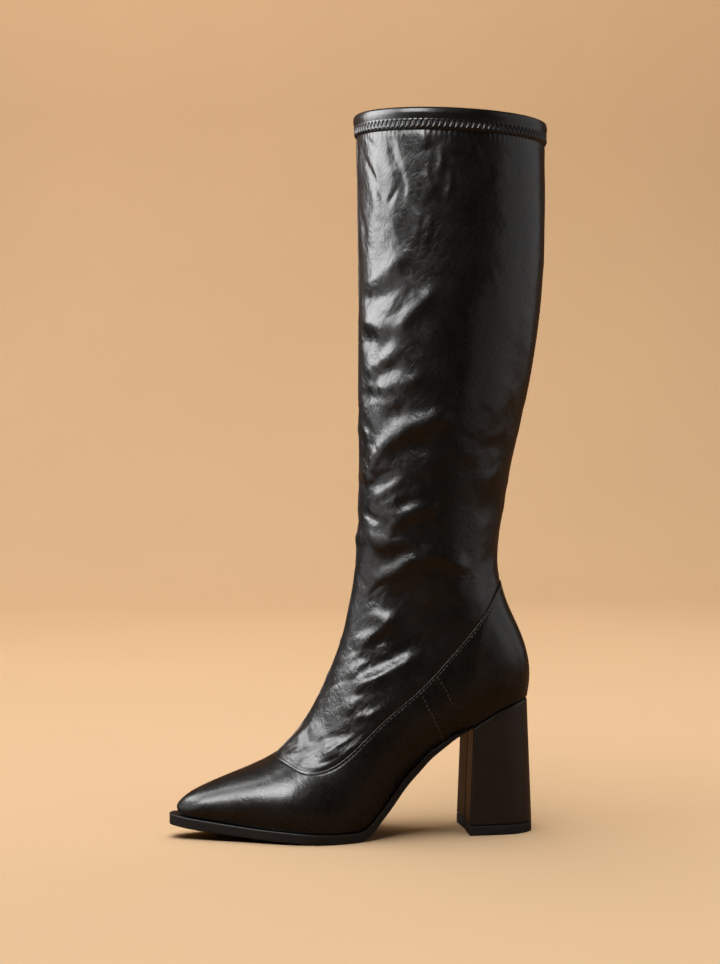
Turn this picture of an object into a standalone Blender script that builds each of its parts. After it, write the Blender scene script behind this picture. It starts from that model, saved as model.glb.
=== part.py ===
"""Knee-high boot for the left foot, with a pointed toe and a block heel.

Frame: metres, +X toward the toe, +Y to the wearer's left (the outer side), +Z up. The boot stands
on z = 0, and the origin lies under the middle of its box. The tables are in millimetres: "along"
is measured forward from the back of the heel at the floor, and heights from the floor.

The leg part is two panels, sewn together along the shin and the back.

The last is a fan of sections. Each section lies in a plane square to the boot's middle plane and
runs from the inner side, over the ridge of instep or shin, to the outer side. In the foot it ends
on the feather edge, where the upper meets the sole, and in the leg it closes at the back. The seam
between the foot part and the leg part cuts across that fan.
"""

from collections import namedtuple

import bmesh
import bpy
import numpy as np

# Driving sizes, in millimetres.
MM = 0.001
MIDDLE = 112.2          # along, of the origin
GAP = 0.3               # between pieces that touch
SEAM_GAP = 0.5          # along the seam between foot part and leg part
PANEL_GAP = 0.9         # along the shin and the back, outside, where the leg's two panels meet
EDGE_GAP = 0.6          # under the feather edge, whose curve is cut into straight steps
UPPER_WALL = 1.8        # foot part: leather and lining
SHAFT_WALL = 1.4        # stretch leg part
BAND_WALL = 1.0         # folded band round the top edge of the leg, each leaf
BAND_DEPTH = 11.7       # below that edge
BAND_DROP = 0.2         # the fold's centre below that edge
TOE_TIP = 227.4         # upper, at the feather edge
TOE_STATION = 221.0     # the sections begin here, with an arc round the tip
HEEL_STATION = 24.0     # the outlines are round behind this
HEEL_BACK = 2.9
SOLE_TIP = 232.4
TOE_LEAD = 0.24         # the toe's cross lines swing forward on the outer side, up to this slope
LEAD_FROM = 185.0
RIDGE_SHIFT = -2.7      # the toe's ridge lies to the inner side
SEAT_INSET = 1.0        # thin end of the sole between upper and heel, set in from both
INSOLE_THICK = 2.0
INSOLE_INSET = 2.9
INSOLE_TOE_INSET = 7.5
HEEL_ARC = 0.95         # how full the outline's arc is round the heel, where 0.7 is an ellipse
TOE_ARC = 0.8           # round the upper's tip
SOLE_TOE_ARC = 1.6      # round the sole's blunter tip
SEAT_FRONT = 43.0       # the heel's outline follows the seat as far as here
HEEL_TOP_BACK = 3.3     # heel block, at the seat
HEEL_TOP_BREAST = 41.8
HEEL_FOOT_BREAST = 44.2
HEEL_WIDEN = 0.2        # each side of the heel's foot, beyond its seat
BREAST_HOLLOW = 1.0
LIFT_THICK = 6.2

# The feather edge's half widths, and how far the sole stands out beyond it.
Outline = namedtuple("Outline", "along outer inner ledge")
OUTLINE = [
    Outline(HEEL_STATION, 22.2, 22.2, -SEAT_INSET), Outline(34, 22.8, 22.6, -SEAT_INSET),
    Outline(43, 23.0, 22.4, -0.4), Outline(54, 22.6, 21.9, 1.0), Outline(70, 22.8, 21.4, 1.3),
    Outline(82, 23.2, 21.4, 1.4), Outline(91.5, 24.4, 22.0, 1.4), Outline(101, 26.8, 23.4, 1.5),
    Outline(108, 29.4, 25.0, 1.6), Outline(116, 32.6, 27.9, 1.6), Outline(128, 36.7, 32.6, 1.7),
    Outline(145, 37.6, 36.0, 1.8), Outline(160, 33.6, 33.9, 1.9), Outline(183, 23.6, 26.0, 2.2),
    Outline(205, 13.2, 17.4, 2.6), Outline(TOE_STATION, 5.4, 10.8, 3.0),
]
# The sole from the side: its upper face and its thickness, measured straight down.
Profile = namedtuple("Profile", "along top thick")
PROFILE = [
    Profile(HEEL_BACK, 86.4, 0.8), Profile(8, 85.7, 0.8), Profile(15, 83.6, 0.9),
    Profile(HEEL_STATION, 79.8, 0.9), Profile(34, 74.1, 1.0), Profile(43, 68.9, 1.2),
    Profile(54, 64.4, 3.1), Profile(62, 59.5, 4.2), Profile(70, 54.2, 5.5),
    Profile(76, 48.4, 6.2), Profile(82, 42.6, 6.8), Profile(87, 36.8, 7.1),
    Profile(91.5, 30.7, 7.1), Profile(96, 24.6, 7.0), Profile(101, 18.5, 6.7),
    Profile(106, 12.6, 6.5), Profile(111, 8.2, 6.2), Profile(116, 6.3, 6.1),
    Profile(122, 6.0, 6.0), Profile(134, 6.1, 6.1), Profile(146, 6.6, 6.2),
    Profile(160, 7.5, 6.4), Profile(183, 9.1, 6.4), Profile(205, 11.7, 6.7),
    Profile(TOE_STATION, 13.8, 6.8), Profile(SOLE_TIP, 15.7, 6.9),
]
TREAD_FROM, TREAD_TO = 117.0, 145.0     # the forefoot's flat, on the floor

# The foot's sections. "edge" is the way round the feather edge, 0 at the toe and 1 at the heel's
# back. "widest" is the share of the section's height below its widest line, and "crown" and
# "root" are the exponents above and below that line (2 is an ellipse).
Foot = namedtuple("Foot", "edge ridge_along ridge_high outer inner widest crown root")
FOOT = [
    Foot(0.000, 227.4, 17.0, 5.6, 11.0, 0.04, 1.65, 2.0),
    Foot(0.018, 227.9, 19.8, 7.9, 13.0, 0.07, 1.75, 2.0),
    Foot(0.038, 225.4, 23.6, 10.4, 15.2, 0.10, 1.85, 2.0),
    Foot(0.075, 219.0, 28.4, 14.2, 18.4, 0.13, 1.95, 2.0),
    Foot(0.130, 207.5, 33.9, 19.9, 23.1, 0.15, 2.0, 2.0),
    Foot(0.200, 194.0, 39.2, 27.1, 29.0, 0.17, 2.0, 2.0),
    Foot(0.280, 180.0, 44.6, 34.6, 34.9, 0.19, 2.0, 2.0),
    Foot(0.360, 167.0, 50.9, 39.0, 36.9, 0.21, 2.0, 2.0),
    Foot(0.440, 155.8, 60.0, 38.9, 35.6, 0.24, 1.95, 2.0),
    Foot(0.520, 146.6, 72.6, 37.4, 33.8, 0.28, 1.9, 2.0),
    Foot(0.600, 139.0, 86.3, 35.8, 32.6, 0.32, 1.9, 2.0),
    Foot(0.680, 132.5, 101.0, 34.4, 31.8, 0.36, 1.95, 2.1),
    Foot(0.760, 127.3, 112.8, 33.2, 31.3, 0.38, 2.0, 2.2),
    Foot(0.840, 123.4, 123.4, 32.3, 31.0, 0.38, 2.0, 2.2),
    Foot(0.900, 121.0, 131.5, 31.8, 31.0, 0.38, 2.0, 2.2),
    Foot(0.950, 119.4, 137.8, 31.5, 31.0, 0.38, 2.0, 2.2),
    Foot(1.000, 118.1, 143.6, 31.4, 31.0, 0.38, 2.0, 2.2),
]
# The leg's sections, closed at the back.
Leg = namedtuple("Leg", "ridge_along ridge_high back_along back_high half widest crown root")
LEG = [
    Leg(116.2, 153.5, 1.5, 102.0, 31.6, 0.39, 2.0, 2.2),
    Leg(114.8, 164.0, 6.0, 123.5, 32.0, 0.41, 2.0, 2.15),
    Leg(113.7, 177.0, 14.0, 141.5, 32.8, 0.44, 2.0, 2.1),
    Leg(112.8, 192.0, 20.2, 160.0, 34.0, 0.47, 2.0, 2.0),
    Leg(112.1, 208.0, 22.1, 180.0, 35.5, 0.49, 2.0, 2.0),
    Leg(111.8, 228.0, 19.0, 205.0, 37.8, 0.50, 2.0, 2.0),
    Leg(111.7, 253.0, 13.9, 234.0, 41.0, 0.50, 2.0, 2.0),
    Leg(111.6, 282.0, 7.3, 263.5, 45.0, 0.50, 2.0, 2.0),
    Leg(111.7, 312.0, 0.5, 297.0, 48.8, 0.50, 2.0, 2.0),
    Leg(112.1, 345.0, -5.3, 338.0, 52.3, 0.50, 2.0, 2.0),
    Leg(112.4, 380.0, -7.2, 378.0, 54.2, 0.50, 2.0, 2.0),
    Leg(112.8, 418.0, -7.4, 415.0, 55.3, 0.50, 2.0, 2.0),
    Leg(113.4, 454.7, -6.8, 449.6, 56.0, 0.50, 2.0, 2.0),
]
# The seam between foot part and leg part, from the back to the ridge, seen from the side.
Seam = namedtuple("Seam", "along high")
SEAM = [
    Seam(14.0, 166.0), Seam(20.4, 160.8), Seam(35.0, 142.5), Seam(55.0, 117.9),
    Seam(78.9, 93.4), Seam(103.3, 73.2), Seam(125.4, 52.4), Seam(134.6, 46.6),
    Seam(143.5, 44.3), Seam(152.2, 45.6), Seam(158.5, 48.6), Seam(166.0, 52.6), Seam(176.0, 57.0),
]

# How finely each piece is divided.
HALF_COLUMNS = 16       # round half of a section
TOE_ROWS = 11           # foot part, from the toe to the seam's peak
WING_ROWS = 18          # from there to the first closed section
COUNTER_ROWS = 6        # and on up the back to the seam
FRONT_ROWS = 14         # leg part, from the seam's peak to its end at the back
SHAFT_ROWS = 13         # and on up to its top edge
ARC_STEPS = 6           # round a heel arc or a tip arc
RUN_STEPS = 36          # between them
ACROSS = 4              # strips across a sole
FOLD_STEPS = 4          # round the band's fold
FINE = 20               # sections worked out for each row of the tables
FINE_COLUMNS = 80       # points on each half of them
TRACE = 300             # steps along each part of a half, before it is divided evenly


def spline(knots, values, at):
    """A natural cubic spline through values, one row for each knot, read at the places in at."""
    knots, values, at = np.asarray(knots, float), np.asarray(values, float), np.asarray(at, float)
    last = len(knots) - 1
    step = np.diff(knots)
    slope = np.diff(values, axis=0) / step[:, None]
    matrix, right = np.eye(last + 1), np.zeros_like(values)
    for i in range(1, last):
        matrix[i, i - 1:i + 2] = step[i - 1], 2 * (step[i - 1] + step[i]), step[i]
        right[i] = 6 * (slope[i] - slope[i - 1])
    bend = np.linalg.solve(matrix, right)
    i = np.clip(np.searchsorted(knots, at, "right") - 1, 0, last - 1)
    width, before, after = (a[:, None] for a in (step[i], at - knots[i], knots[i + 1] - at))
    cubic = (bend[i] * after ** 3 + bend[i + 1] * before ** 3) / (6 * width)
    line = (values[i] / width - bend[i] * width / 6) * after
    return cubic + line + (values[i + 1] / width - bend[i + 1] * width / 6) * before


def chord(points):
    """Distance along a line of points."""
    return np.concatenate([[0.0], np.cumsum(np.linalg.norm(np.diff(points, axis=0), axis=1))])


def sole_top(along):
    table = np.array(PROFILE)
    return spline(table[:, 0], table[:, 1:2], along)[:, 0]


def sole_bottom(along):
    table = np.array(PROFILE)
    high, thick = spline(table[:, 0], table[:, 1:], along).T
    on_floor = (along > TREAD_FROM) & (along < TREAD_TO)
    return np.where(on_floor, 0.0, np.maximum(high - thick, 0.0))


def round_end(start, slope, end, weight, steps):
    """Rational arc (x, y) from start, where it has the slope, to end, where it runs along Y."""
    corner = np.array([end[0], start[1] + slope * (end[0] - start[0])])
    t = np.linspace(0, 1, steps + 1)[:, None]
    near, middle, far = (1 - t) ** 2, 2 * weight * t * (1 - t), t ** 2
    return (near * start + middle * corner + far * end) / (near + middle + far)


def outline(ledge=0.0, inset=0.0, back=HEEL_BACK, tip=TOE_TIP, tip_arc=TOE_ARC,
            arc_steps=ARC_STEPS, run_steps=RUN_STEPS):
    """The feather edge grown by its ledge and drawn in by inset, heel to tip: along, outer, inner."""
    table = np.array(OUTLINE)
    run = np.linspace(HEEL_STATION, TOE_STATION, run_steps + 1)
    widths = spline(table[:, 0], table[:, 1:], run)
    sides = [widths[:, side] + ledge * widths[:, 2] - inset for side in (0, 1)]
    halves = []
    for sign, half in zip((1, -1), sides):
        y = sign * half
        heel_middle = (sides[0][0] - sides[1][0]) / 2
        tip_middle = (sides[0][-1] - sides[1][-1]) / 2
        stretch = run[1] - run[0]
        heel = round_end(np.array([run[0], y[0]]), (y[1] - y[0]) / stretch,
                         np.array([back, heel_middle]), HEEL_ARC, arc_steps)[::-1]
        toe = round_end(np.array([run[-1], y[-1]]), (y[-1] - y[-2]) / stretch,
                        np.array([tip, tip_middle]), tip_arc, arc_steps)
        middle = np.column_stack([run, y])
        halves.append(np.concatenate([heel[:-1], middle, toe[1:]]))
    return np.column_stack([halves[0], halves[1][:, 1]])


def swing(along, y):
    """How far the toe's slant moves a point forward."""
    share = np.clip((along - LEAD_FROM) / (TOE_STATION - LEAD_FROM), 0, 1)
    return TOE_LEAD * share ** 1.5 * (y - RIDGE_SHIFT)


def fan():
    """Fine table of sections: back, ridge, half widths, shape, and half widths at the bottom."""
    edge = outline(arc_steps=60, run_steps=200)
    edge = edge[edge[:, 0] <= TOE_STATION][::-1]
    way = chord(edge[:, :2])
    way /= way[-1]
    foot, leg = np.array(FOOT), np.array(LEG)
    closed = len(foot) - 1
    rows = np.zeros((closed + 1 + len(leg), 10))
    for column in (0, 1, 2):
        rows[:closed + 1, column] = np.interp(foot[:, 0], way, edge[:, column])
    rows[:closed + 1, 3] = sole_top(rows[:closed + 1, 0]) + EDGE_GAP
    rows[:closed + 1, 4:6], rows[:closed + 1, 6:8] = foot[:, 1:3], foot[:, 3:5]
    rows[closed + 1:, 0], rows[closed + 1:, 3] = leg[:, 2], leg[:, 3]
    rows[closed + 1:, 4:6] = leg[:, :2]
    rows[closed + 1:, 6] = rows[closed + 1:, 7] = leg[:, 4]
    shape = np.concatenate([foot[:, 5:], leg[:, 5:]])
    travel = (chord(rows[:, [0, 3]]) + chord(rows[:, 4:6])) / 2
    at_row = np.linspace(0, len(rows) - 1, (len(rows) - 1) * FINE + 1)
    at = np.interp(at_row, np.arange(len(rows)), travel)
    ridge = spline(travel, np.column_stack([rows[:, 4:8], shape]), at)
    round_edge = np.interp(at, travel[:closed + 1], foot[:, 0])
    way_at = spline(travel[:closed + 1], foot[:, :1], at[at_row <= closed])[:, 0]
    round_edge[at_row <= closed] = np.clip(way_at, 0, 1)
    back, outer, inner = (np.interp(round_edge, way, edge[:, column]) for column in (0, 1, 2))
    high = sole_top(back) + EDGE_GAP
    up = at_row > closed
    climb = spline(travel[closed:], rows[closed:, [0, 3]], at[up])
    back[up], high[up] = climb[:, 0], climb[:, 1]
    outer[up] = inner[up] = 0.0
    shift = RIDGE_SHIFT * np.clip(1 - at / travel[closed], 0, 1) ** 0.8
    return closed * FINE, np.column_stack([back, high, ridge, outer, inner, shift])


def half_section(high, width, foot_y, middle, widest, crown, root):
    """Points (y, height in the section) from the ridge down one side, evenly spaced."""
    rise = widest * high
    angle = np.linspace(np.pi / 2, 0, TRACE)
    y = middle + (width - middle) * np.cos(angle) ** (2 / crown)
    up = rise + (high - rise) * np.sin(angle) ** (2 / crown)
    share = np.clip((foot_y - middle) / (width - middle), 0, 1)
    lowest = np.arccos(share ** (root / 2))
    drop = rise / max(np.sin(lowest), 1e-6) ** (2 / root)
    angle = np.linspace(0, lowest, TRACE)[1:]
    y = np.concatenate([y, middle + (width - middle) * np.cos(angle) ** (2 / root)])
    up = np.concatenate([up, rise - drop * np.sin(angle) ** (2 / root)])
    line = np.column_stack([y, up])
    way = chord(line)
    at = np.linspace(0, way[-1], FINE_COLUMNS + 1)
    return np.column_stack([np.interp(at, way, line[:, 0]), np.interp(at, way, line[:, 1])])


def last_surface():
    """Fine grid of points over the last, and the row where its sections begin to be closed."""
    closed, table = fan()
    grid = np.empty((len(table), 2 * FINE_COLUMNS + 1, 3))
    for i, row in enumerate(table):
        back, low, ridge, top, outer, inner, widest, crown, root, foot_out, foot_in, middle = row
        run, rise = ridge - back, top - low
        high = np.hypot(run, rise)
        sides = (half_section(high, -inner, foot_in, middle, widest, crown, root),
                 half_section(high, outer, foot_out, middle, widest, crown, root))
        line = np.concatenate([sides[0][::-1], sides[1][1:]])
        grid[i, :, 0] = back + run * line[:, 1] / high + swing(back, line[:, 0])
        grid[i, :, 1] = line[:, 0]
        grid[i, :, 2] = low + rise * line[:, 1] / high
    return grid, closed


def seam_shares(grid, beyond):
    """How far down each half section, from the ridge, the seam crosses it: inner, outer, ends.

    The seam is first moved up by "beyond". A share of 0 is a section all below it, and 1 one all
    above it. "ends" holds the fractional rows where it crosses the ridge and the back.
    """
    table = np.array(SEAM)
    way = chord(table)
    line = spline(way, table, np.linspace(0, way[-1], 400))
    steep = np.hypot(1, np.gradient(line[:, 1], line[:, 0]))
    along = grid[..., 0]
    over = grid[..., 2] - np.interp(along, line[:, 0], line[:, 1])
    over = over / np.interp(along, line[:, 0], steep) - beyond
    half = grid.shape[1] // 2
    shares = []
    for side in (over[:, half::-1], over[:, half:]):
        share = np.ones(len(grid))
        for i, row in enumerate(side):
            below = np.nonzero(row < 0)[0]
            if len(below) and below[0] > 0:
                j = below[0]
                share[i] = (j - 1 + row[j - 1] / (row[j - 1] - row[j])) / half
            elif len(below):
                share[i] = 0.0
        shares.append(share)
    ends = []
    for column in (half, 0):
        i = np.nonzero(over[:, column] < 0)[0][-1]
        ends.append(i + over[i, column] / (over[i, column] - over[i + 1, column]))
    return shares[0], shares[1], ends


def sample(grid, rows, shares):
    """Points at fractional rows and, for each, at shares from -1 (inner end) to 1 (outer end)."""
    half = grid.shape[1] // 2
    i = np.clip(rows.astype(int), 0, len(grid) - 2)
    down = (rows - i)[:, None, None]
    column = (shares + 1) * half
    j = np.clip(column.astype(int), 0, 2 * half - 1)
    across_cell = (column - j)[..., None]
    i = i[:, None]
    near = grid[i, j] * (1 - across_cell) + grid[i, j + 1] * across_cell
    far = grid[i + 1, j] * (1 - across_cell) + grid[i + 1, j + 1] * across_cell
    return near * (1 - down) + far * down


def eased(count):
    """Shares from 0 to 1 that are close together at both ends."""
    even = np.linspace(0, 1, count + 1)
    return even ** 2 * (3 - 2 * even)


def new_object(name, bm, material, collection):
    """Make one named object of a bmesh, moved from table millimetres into the frame."""
    for vertex in bm.verts:
        vertex.co.x -= MIDDLE
        vertex.co *= MM
    mesh = bpy.data.meshes.new(name)
    bm.to_mesh(mesh)
    bm.free()
    mesh.shade_smooth()
    mesh.set_sharp_from_angle(angle=0.7)
    mesh.materials.append(material)
    piece = bpy.data.objects.new(name, mesh)
    collection.objects.link(piece)
    return piece


def skin(name, grids, wall, material, collection):
    """An open surface through grids of points that share edges, given a wall on its inner side."""
    bm = bmesh.new()
    for rows in grids:
        verts = [[bm.verts.new(point) for point in row] for row in rows]
        for row, following in zip(verts, verts[1:]):
            for corner in zip(row, row[1:], following[1:], following):
                bm.faces.new(corner)
    bmesh.ops.remove_doubles(bm, verts=bm.verts, dist=0.01)
    piece = new_object(name, bm, material, collection)
    shell = piece.modifiers.new("wall", "SOLIDIFY")
    shell.thickness = wall * MM
    shell.offset = -1.0
    return piece


def slab(name, tops, bottoms, material, collection):
    """A closed solid between two grids of points, stations by points across."""
    bm = bmesh.new()
    upper = [[bm.verts.new(point) for point in row] for row in tops]
    lower = [[bm.verts.new(point) for point in row] for row in bottoms]
    for grid in (upper, lower):
        for row, following in zip(grid, grid[1:]):
            for corner in zip(row, row[1:], following[1:], following):
                bm.faces.new(corner)
    rims = [(upper[0], lower[0]), (upper[-1], lower[-1])]
    for side in (0, -1):
        rims.append(([row[side] for row in upper], [row[side] for row in lower]))
    for high, low in rims:
        for corner in zip(high, high[1:], low[1:], low):
            bm.faces.new(corner)
    bmesh.ops.recalc_face_normals(bm, faces=bm.faces)
    return new_object(name, bm, material, collection)


def across(edge, heights, count=ACROSS):
    """Stations by points across an outline, with the toe's slant, at one height per station."""
    grid = np.empty((len(edge), count + 1, 3))
    for j, share in enumerate(np.linspace(0, 1, count + 1)):
        y = edge[:, 2] + (edge[:, 1] - edge[:, 2]) * share
        grid[:, j] = np.column_stack([edge[:, 0] + swing(edge[:, 0], y), y, heights])
    return grid


def heel_stations():
    """Outline of the seat up to the breast: share of the way, outer, inner."""
    edge = outline(run_steps=200)
    turn = outline()
    arc_part = turn[turn[:, 0] < HEEL_STATION - 0.01, 0]
    along = np.concatenate([arc_part, np.linspace(HEEL_STATION, SEAT_FRONT, 4)])
    sides = [np.interp(along, edge[:, 0], edge[:, column]) for column in (1, 2)]
    return np.column_stack([(along - along[0]) / (along[-1] - along[0]), *sides])


def heel_grid(seat, back, breast, widen):
    """Stations by points across the heel, from its back to its hollowed breast, lying on z = 0."""
    edge = np.column_stack([back + seat[:, 0] * (breast - back), seat[:, 1] + widen,
                            seat[:, 2] - widen])
    grid = across(edge, np.zeros(len(edge)))
    grid[-1, :, 0] -= BREAST_HOLLOW * (1 - np.abs(np.linspace(-1, 1, ACROSS + 1)))
    return grid


def build_heel(materials, collection):
    seat = heel_stations()
    top = heel_grid(seat, HEEL_TOP_BACK, HEEL_TOP_BREAST, 0.0)
    top[:, :, 2] = sole_bottom(top[:, :, 0].ravel()).reshape(top.shape[:2]) - GAP
    foot = heel_grid(seat, 0.0, HEEL_FOOT_BREAST, HEEL_WIDEN)
    lift_top, lift_foot, foot_of_block = foot.copy(), foot.copy(), foot.copy()
    foot_of_block[:, :, 2] = LIFT_THICK + GAP
    lift_top[:, :, 2] = LIFT_THICK
    slab("heel_block", top, foot_of_block, materials["heel"], collection)
    slab("heel_lift", lift_top, lift_foot, materials["lift"], collection)


def build_soles(materials, collection):
    edge = outline(ledge=1.0, back=HEEL_BACK + SEAT_INSET, tip=SOLE_TIP, tip_arc=SOLE_TOE_ARC)
    top = across(edge, sole_top(edge[:, 0]))
    bottom = across(edge, sole_bottom(edge[:, 0]))
    slab("outsole", top, bottom, materials["sole"], collection)
    edge = outline(inset=INSOLE_INSET, back=HEEL_BACK + INSOLE_INSET,
                   tip=TOE_TIP - INSOLE_TOE_INSET)
    bottom = across(edge, sole_top(edge[:, 0]) + GAP)
    top = bottom + np.array([0.0, 0.0, INSOLE_THICK])
    slab("insole", top, bottom, materials["insole"], collection)


def build_upper(grid, closed, materials, collection):
    """The foot part: whole sections as far as the seam's peak, then a wing on each side."""
    inner, outer, (peak, back) = seam_shares(grid, -SEAM_GAP / 2)
    counter = 1 - np.linspace(1, 0, COUNTER_ROWS + 1)[1:] ** 2
    rows = np.concatenate([
        np.linspace(0, peak, TOE_ROWS + 1),
        peak + (closed - peak) * eased(WING_ROWS)[1:],
        closed + (back - closed) * counter])
    wings = []
    for side, share in ((-1, inner), (1, outer)):
        share = np.where(rows < peak, 0.0, np.interp(rows, np.arange(len(share)), share))
        share[TOE_ROWS], share[-1] = 0.0, 1.0
        down = np.linspace(0, 1, HALF_COLUMNS + 1)
        columns = side * (share[:, None] + (1 - share[:, None]) * down)
        wings.append(sample(grid, rows, columns[:, ::side]))
    skin("upper", wings, UPPER_WALL, materials["upper"], collection)


def build_shaft(grid, materials, collection):
    """The leg's panels, from the seam up. Returns their top edge and the line a band's depth below."""
    inner, outer, (peak, back) = seam_shares(grid, SEAM_GAP / 2)
    last = len(grid) - 1
    rows = np.concatenate([
        peak + (back - peak) * eased(FRONT_ROWS),
        np.linspace(back, last, SHAFT_ROWS + 1)[1:]])
    lines = []
    for share in (inner, outer):
        share = np.where(rows < back, np.interp(rows, np.arange(len(share)), share), 1.0)
        share[0] = 0.0
        lines.append(share[:, None] * np.linspace(0, 1, HALF_COLUMNS + 1))
    columns = np.concatenate([-lines[0][:, ::-1], lines[1][:, 1:]], axis=1)
    leg = sample(grid, rows, columns)
    inner_panel, outer_panel = leg[:, :HALF_COLUMNS + 1].copy(), leg[:, HALF_COLUMNS:].copy()
    inner_panel[..., 1] = np.minimum(inner_panel[..., 1], -PANEL_GAP / 2)
    outer_panel[..., 1] = np.maximum(outer_panel[..., 1], PANEL_GAP / 2)
    skin("shaft_inner", [inner_panel], SHAFT_WALL, materials["shaft"], collection)
    skin("shaft_outer", [outer_panel], SHAFT_WALL, materials["shaft"], collection)
    down = leg[-2] - leg[-1]
    return leg[-1], leg[-1] + BAND_DEPTH * down / np.linalg.norm(down, axis=1)[:, None]


def build_band(edge, below, materials, collection):
    """The folded band: down the outside, over the leg's top edge and down the inside."""
    tangent = np.roll(edge[:-1], -1, axis=0) - np.roll(edge[:-1], 1, axis=0)
    outward = np.column_stack([tangent[:, 1], -tangent[:, 0], np.zeros(len(tangent))])
    outward /= np.linalg.norm(outward, axis=1)[:, None]
    outward = np.concatenate([outward, outward[:1]])
    radius = SHAFT_WALL / 2 + GAP + BAND_WALL
    centre = edge - outward * SHAFT_WALL / 2 - np.array([0.0, 0.0, BAND_DROP])
    low = below - outward * SHAFT_WALL / 2
    rows = [low + outward * radius]
    for turn in np.linspace(0, np.pi, FOLD_STEPS + 1):
        rows.append(centre + outward * radius * np.cos(turn)
                    + np.array([0.0, 0.0, radius * np.sin(turn)]))
    rows.append(low - outward * radius)
    skin("collar_band", [rows], BAND_WALL, materials["band"], collection)


def new_material(name, colour, roughness):
    material = bpy.data.materials.new(name)
    material.use_nodes = True
    shader = material.node_tree.nodes["Principled BSDF"]
    shader.inputs["Base Color"].default_value = (*colour, 1.0)
    shader.inputs["Roughness"].default_value = roughness
    shader.inputs["Metallic"].default_value = 0.0
    return material


def main():
    for old in list(bpy.data.objects):
        bpy.data.objects.remove(old, do_unlink=True)
    parts = bpy.data.collections.new("knee_boot")
    bpy.context.scene.collection.children.link(parts)
    materials = {
        "upper": new_material("smooth_leather", (0.012, 0.010, 0.009), 0.30),
        "shaft": new_material("stretch_leather", (0.010, 0.009, 0.009), 0.26),
        "band": new_material("band_leather", (0.012, 0.011, 0.010), 0.35),
        "sole": new_material("sole_rubber", (0.022, 0.017, 0.014), 0.60),
        "heel": new_material("heel_cover", (0.018, 0.012, 0.009), 0.35),
        "lift": new_material("lift_rubber", (0.010, 0.009, 0.009), 0.65),
        "insole": new_material("insole_sock", (0.030, 0.025, 0.022), 0.70),
    }
    grid, closed = last_surface()
    build_upper(grid, closed, materials, parts)
    edge, below = build_shaft(grid, materials, parts)
    build_band(edge, below, materials, parts)
    build_soles(materials, parts)
    build_heel(materials, parts)


main()
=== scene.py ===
"""Looks of a knee-high boot with a pointed toe and a block heel, laid out as a Blender add-on.

Frame: metres, +X toward the toe, +Y to the wearer's left (the outer side), +Z up, floor at z = 0.
Tables and shapes are in millimetres: "along" is measured forward from the back of the heel at the
floor, heights from the floor, and "around" from the middle of the shin along a section, positive
on the outer side.

The foot and leg are surfaces over one last. The last is a fan of sections, each in a plane square
to the boot's middle plane, from the feather edge over the ridge of instep or shin, and closed at
the back in the leg. Creases are soft troughs and ridges pressed along the surface's normals.
"""

import functools
from collections import namedtuple

import bmesh
import bpy
import numpy as np
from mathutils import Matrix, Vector, noise


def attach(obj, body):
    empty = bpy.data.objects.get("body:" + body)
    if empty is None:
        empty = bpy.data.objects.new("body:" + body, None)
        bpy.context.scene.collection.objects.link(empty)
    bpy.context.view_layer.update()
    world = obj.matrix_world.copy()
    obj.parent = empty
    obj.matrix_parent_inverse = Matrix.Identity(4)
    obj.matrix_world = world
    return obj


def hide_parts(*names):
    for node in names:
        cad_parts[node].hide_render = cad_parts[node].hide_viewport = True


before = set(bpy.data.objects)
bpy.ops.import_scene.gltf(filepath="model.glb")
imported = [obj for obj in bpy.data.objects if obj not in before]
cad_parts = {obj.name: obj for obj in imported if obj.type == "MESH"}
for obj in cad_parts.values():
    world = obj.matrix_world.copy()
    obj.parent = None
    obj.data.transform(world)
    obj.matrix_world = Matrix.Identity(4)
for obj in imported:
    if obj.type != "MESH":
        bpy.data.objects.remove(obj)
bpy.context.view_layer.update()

bl_info = {
    "name": "Knee-high Boot",
    "version": (1, 0, 0),
    "blender": (4, 5, 0),
    "location": "View3D > Sidebar > Boot",
    "description": "Builds the leather, stitching, sole, heel and stage of a knee-high boot",
    "category": "Add Mesh",
}

# --- The boot's sizes, in millimetres ---
MM = 0.001
MIDDLE = 112.2          # along, of the origin
EDGE_GAP = 0.6          # under the feather edge
TOE_TIP = 227.4
TOE_STATION = 221.0
HEEL_STATION = 24.0
HEEL_BACK = 2.9
SOLE_TIP = 232.4
TOE_LEAD = 0.24         # the toe's cross lines swing forward on the outer side, up to this slope
LEAD_FROM = 185.0
RIDGE_SHIFT = -2.7      # the toe's ridge lies to the inner side
SEAT_INSET = 1.0
HEEL_ARC = 0.95
TOE_ARC = 0.8
SOLE_TOE_ARC = 1.6
SEAT_FRONT = 43.0
HEEL_TOP_BACK = 3.3
HEEL_TOP_BREAST = 41.8
HEEL_FOOT_BREAST = 44.2
HEEL_WIDEN = 0.2
BREAST_HOLLOW = 1.0
LIFT_THICK = 6.2

# Columns: along, outer, inner, ledge.
OUTLINE = np.array([
    (HEEL_STATION, 22.2, 22.2, -SEAT_INSET), (34, 22.8, 22.6, -SEAT_INSET), (43, 23.0, 22.4, -0.4),
    (54, 22.6, 21.9, 1.0), (70, 22.8, 21.4, 1.3), (82, 23.2, 21.4, 1.4), (91.5, 24.4, 22.0, 1.4),
    (101, 26.8, 23.4, 1.5), (108, 29.4, 25.0, 1.6), (116, 32.6, 27.9, 1.6), (128, 36.7, 32.6, 1.7),
    (145, 37.6, 36.0, 1.8), (160, 33.6, 33.9, 1.9), (183, 23.6, 26.0, 2.2), (205, 13.2, 17.4, 2.6),
    (TOE_STATION, 5.4, 10.8, 3.0),
])
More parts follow.
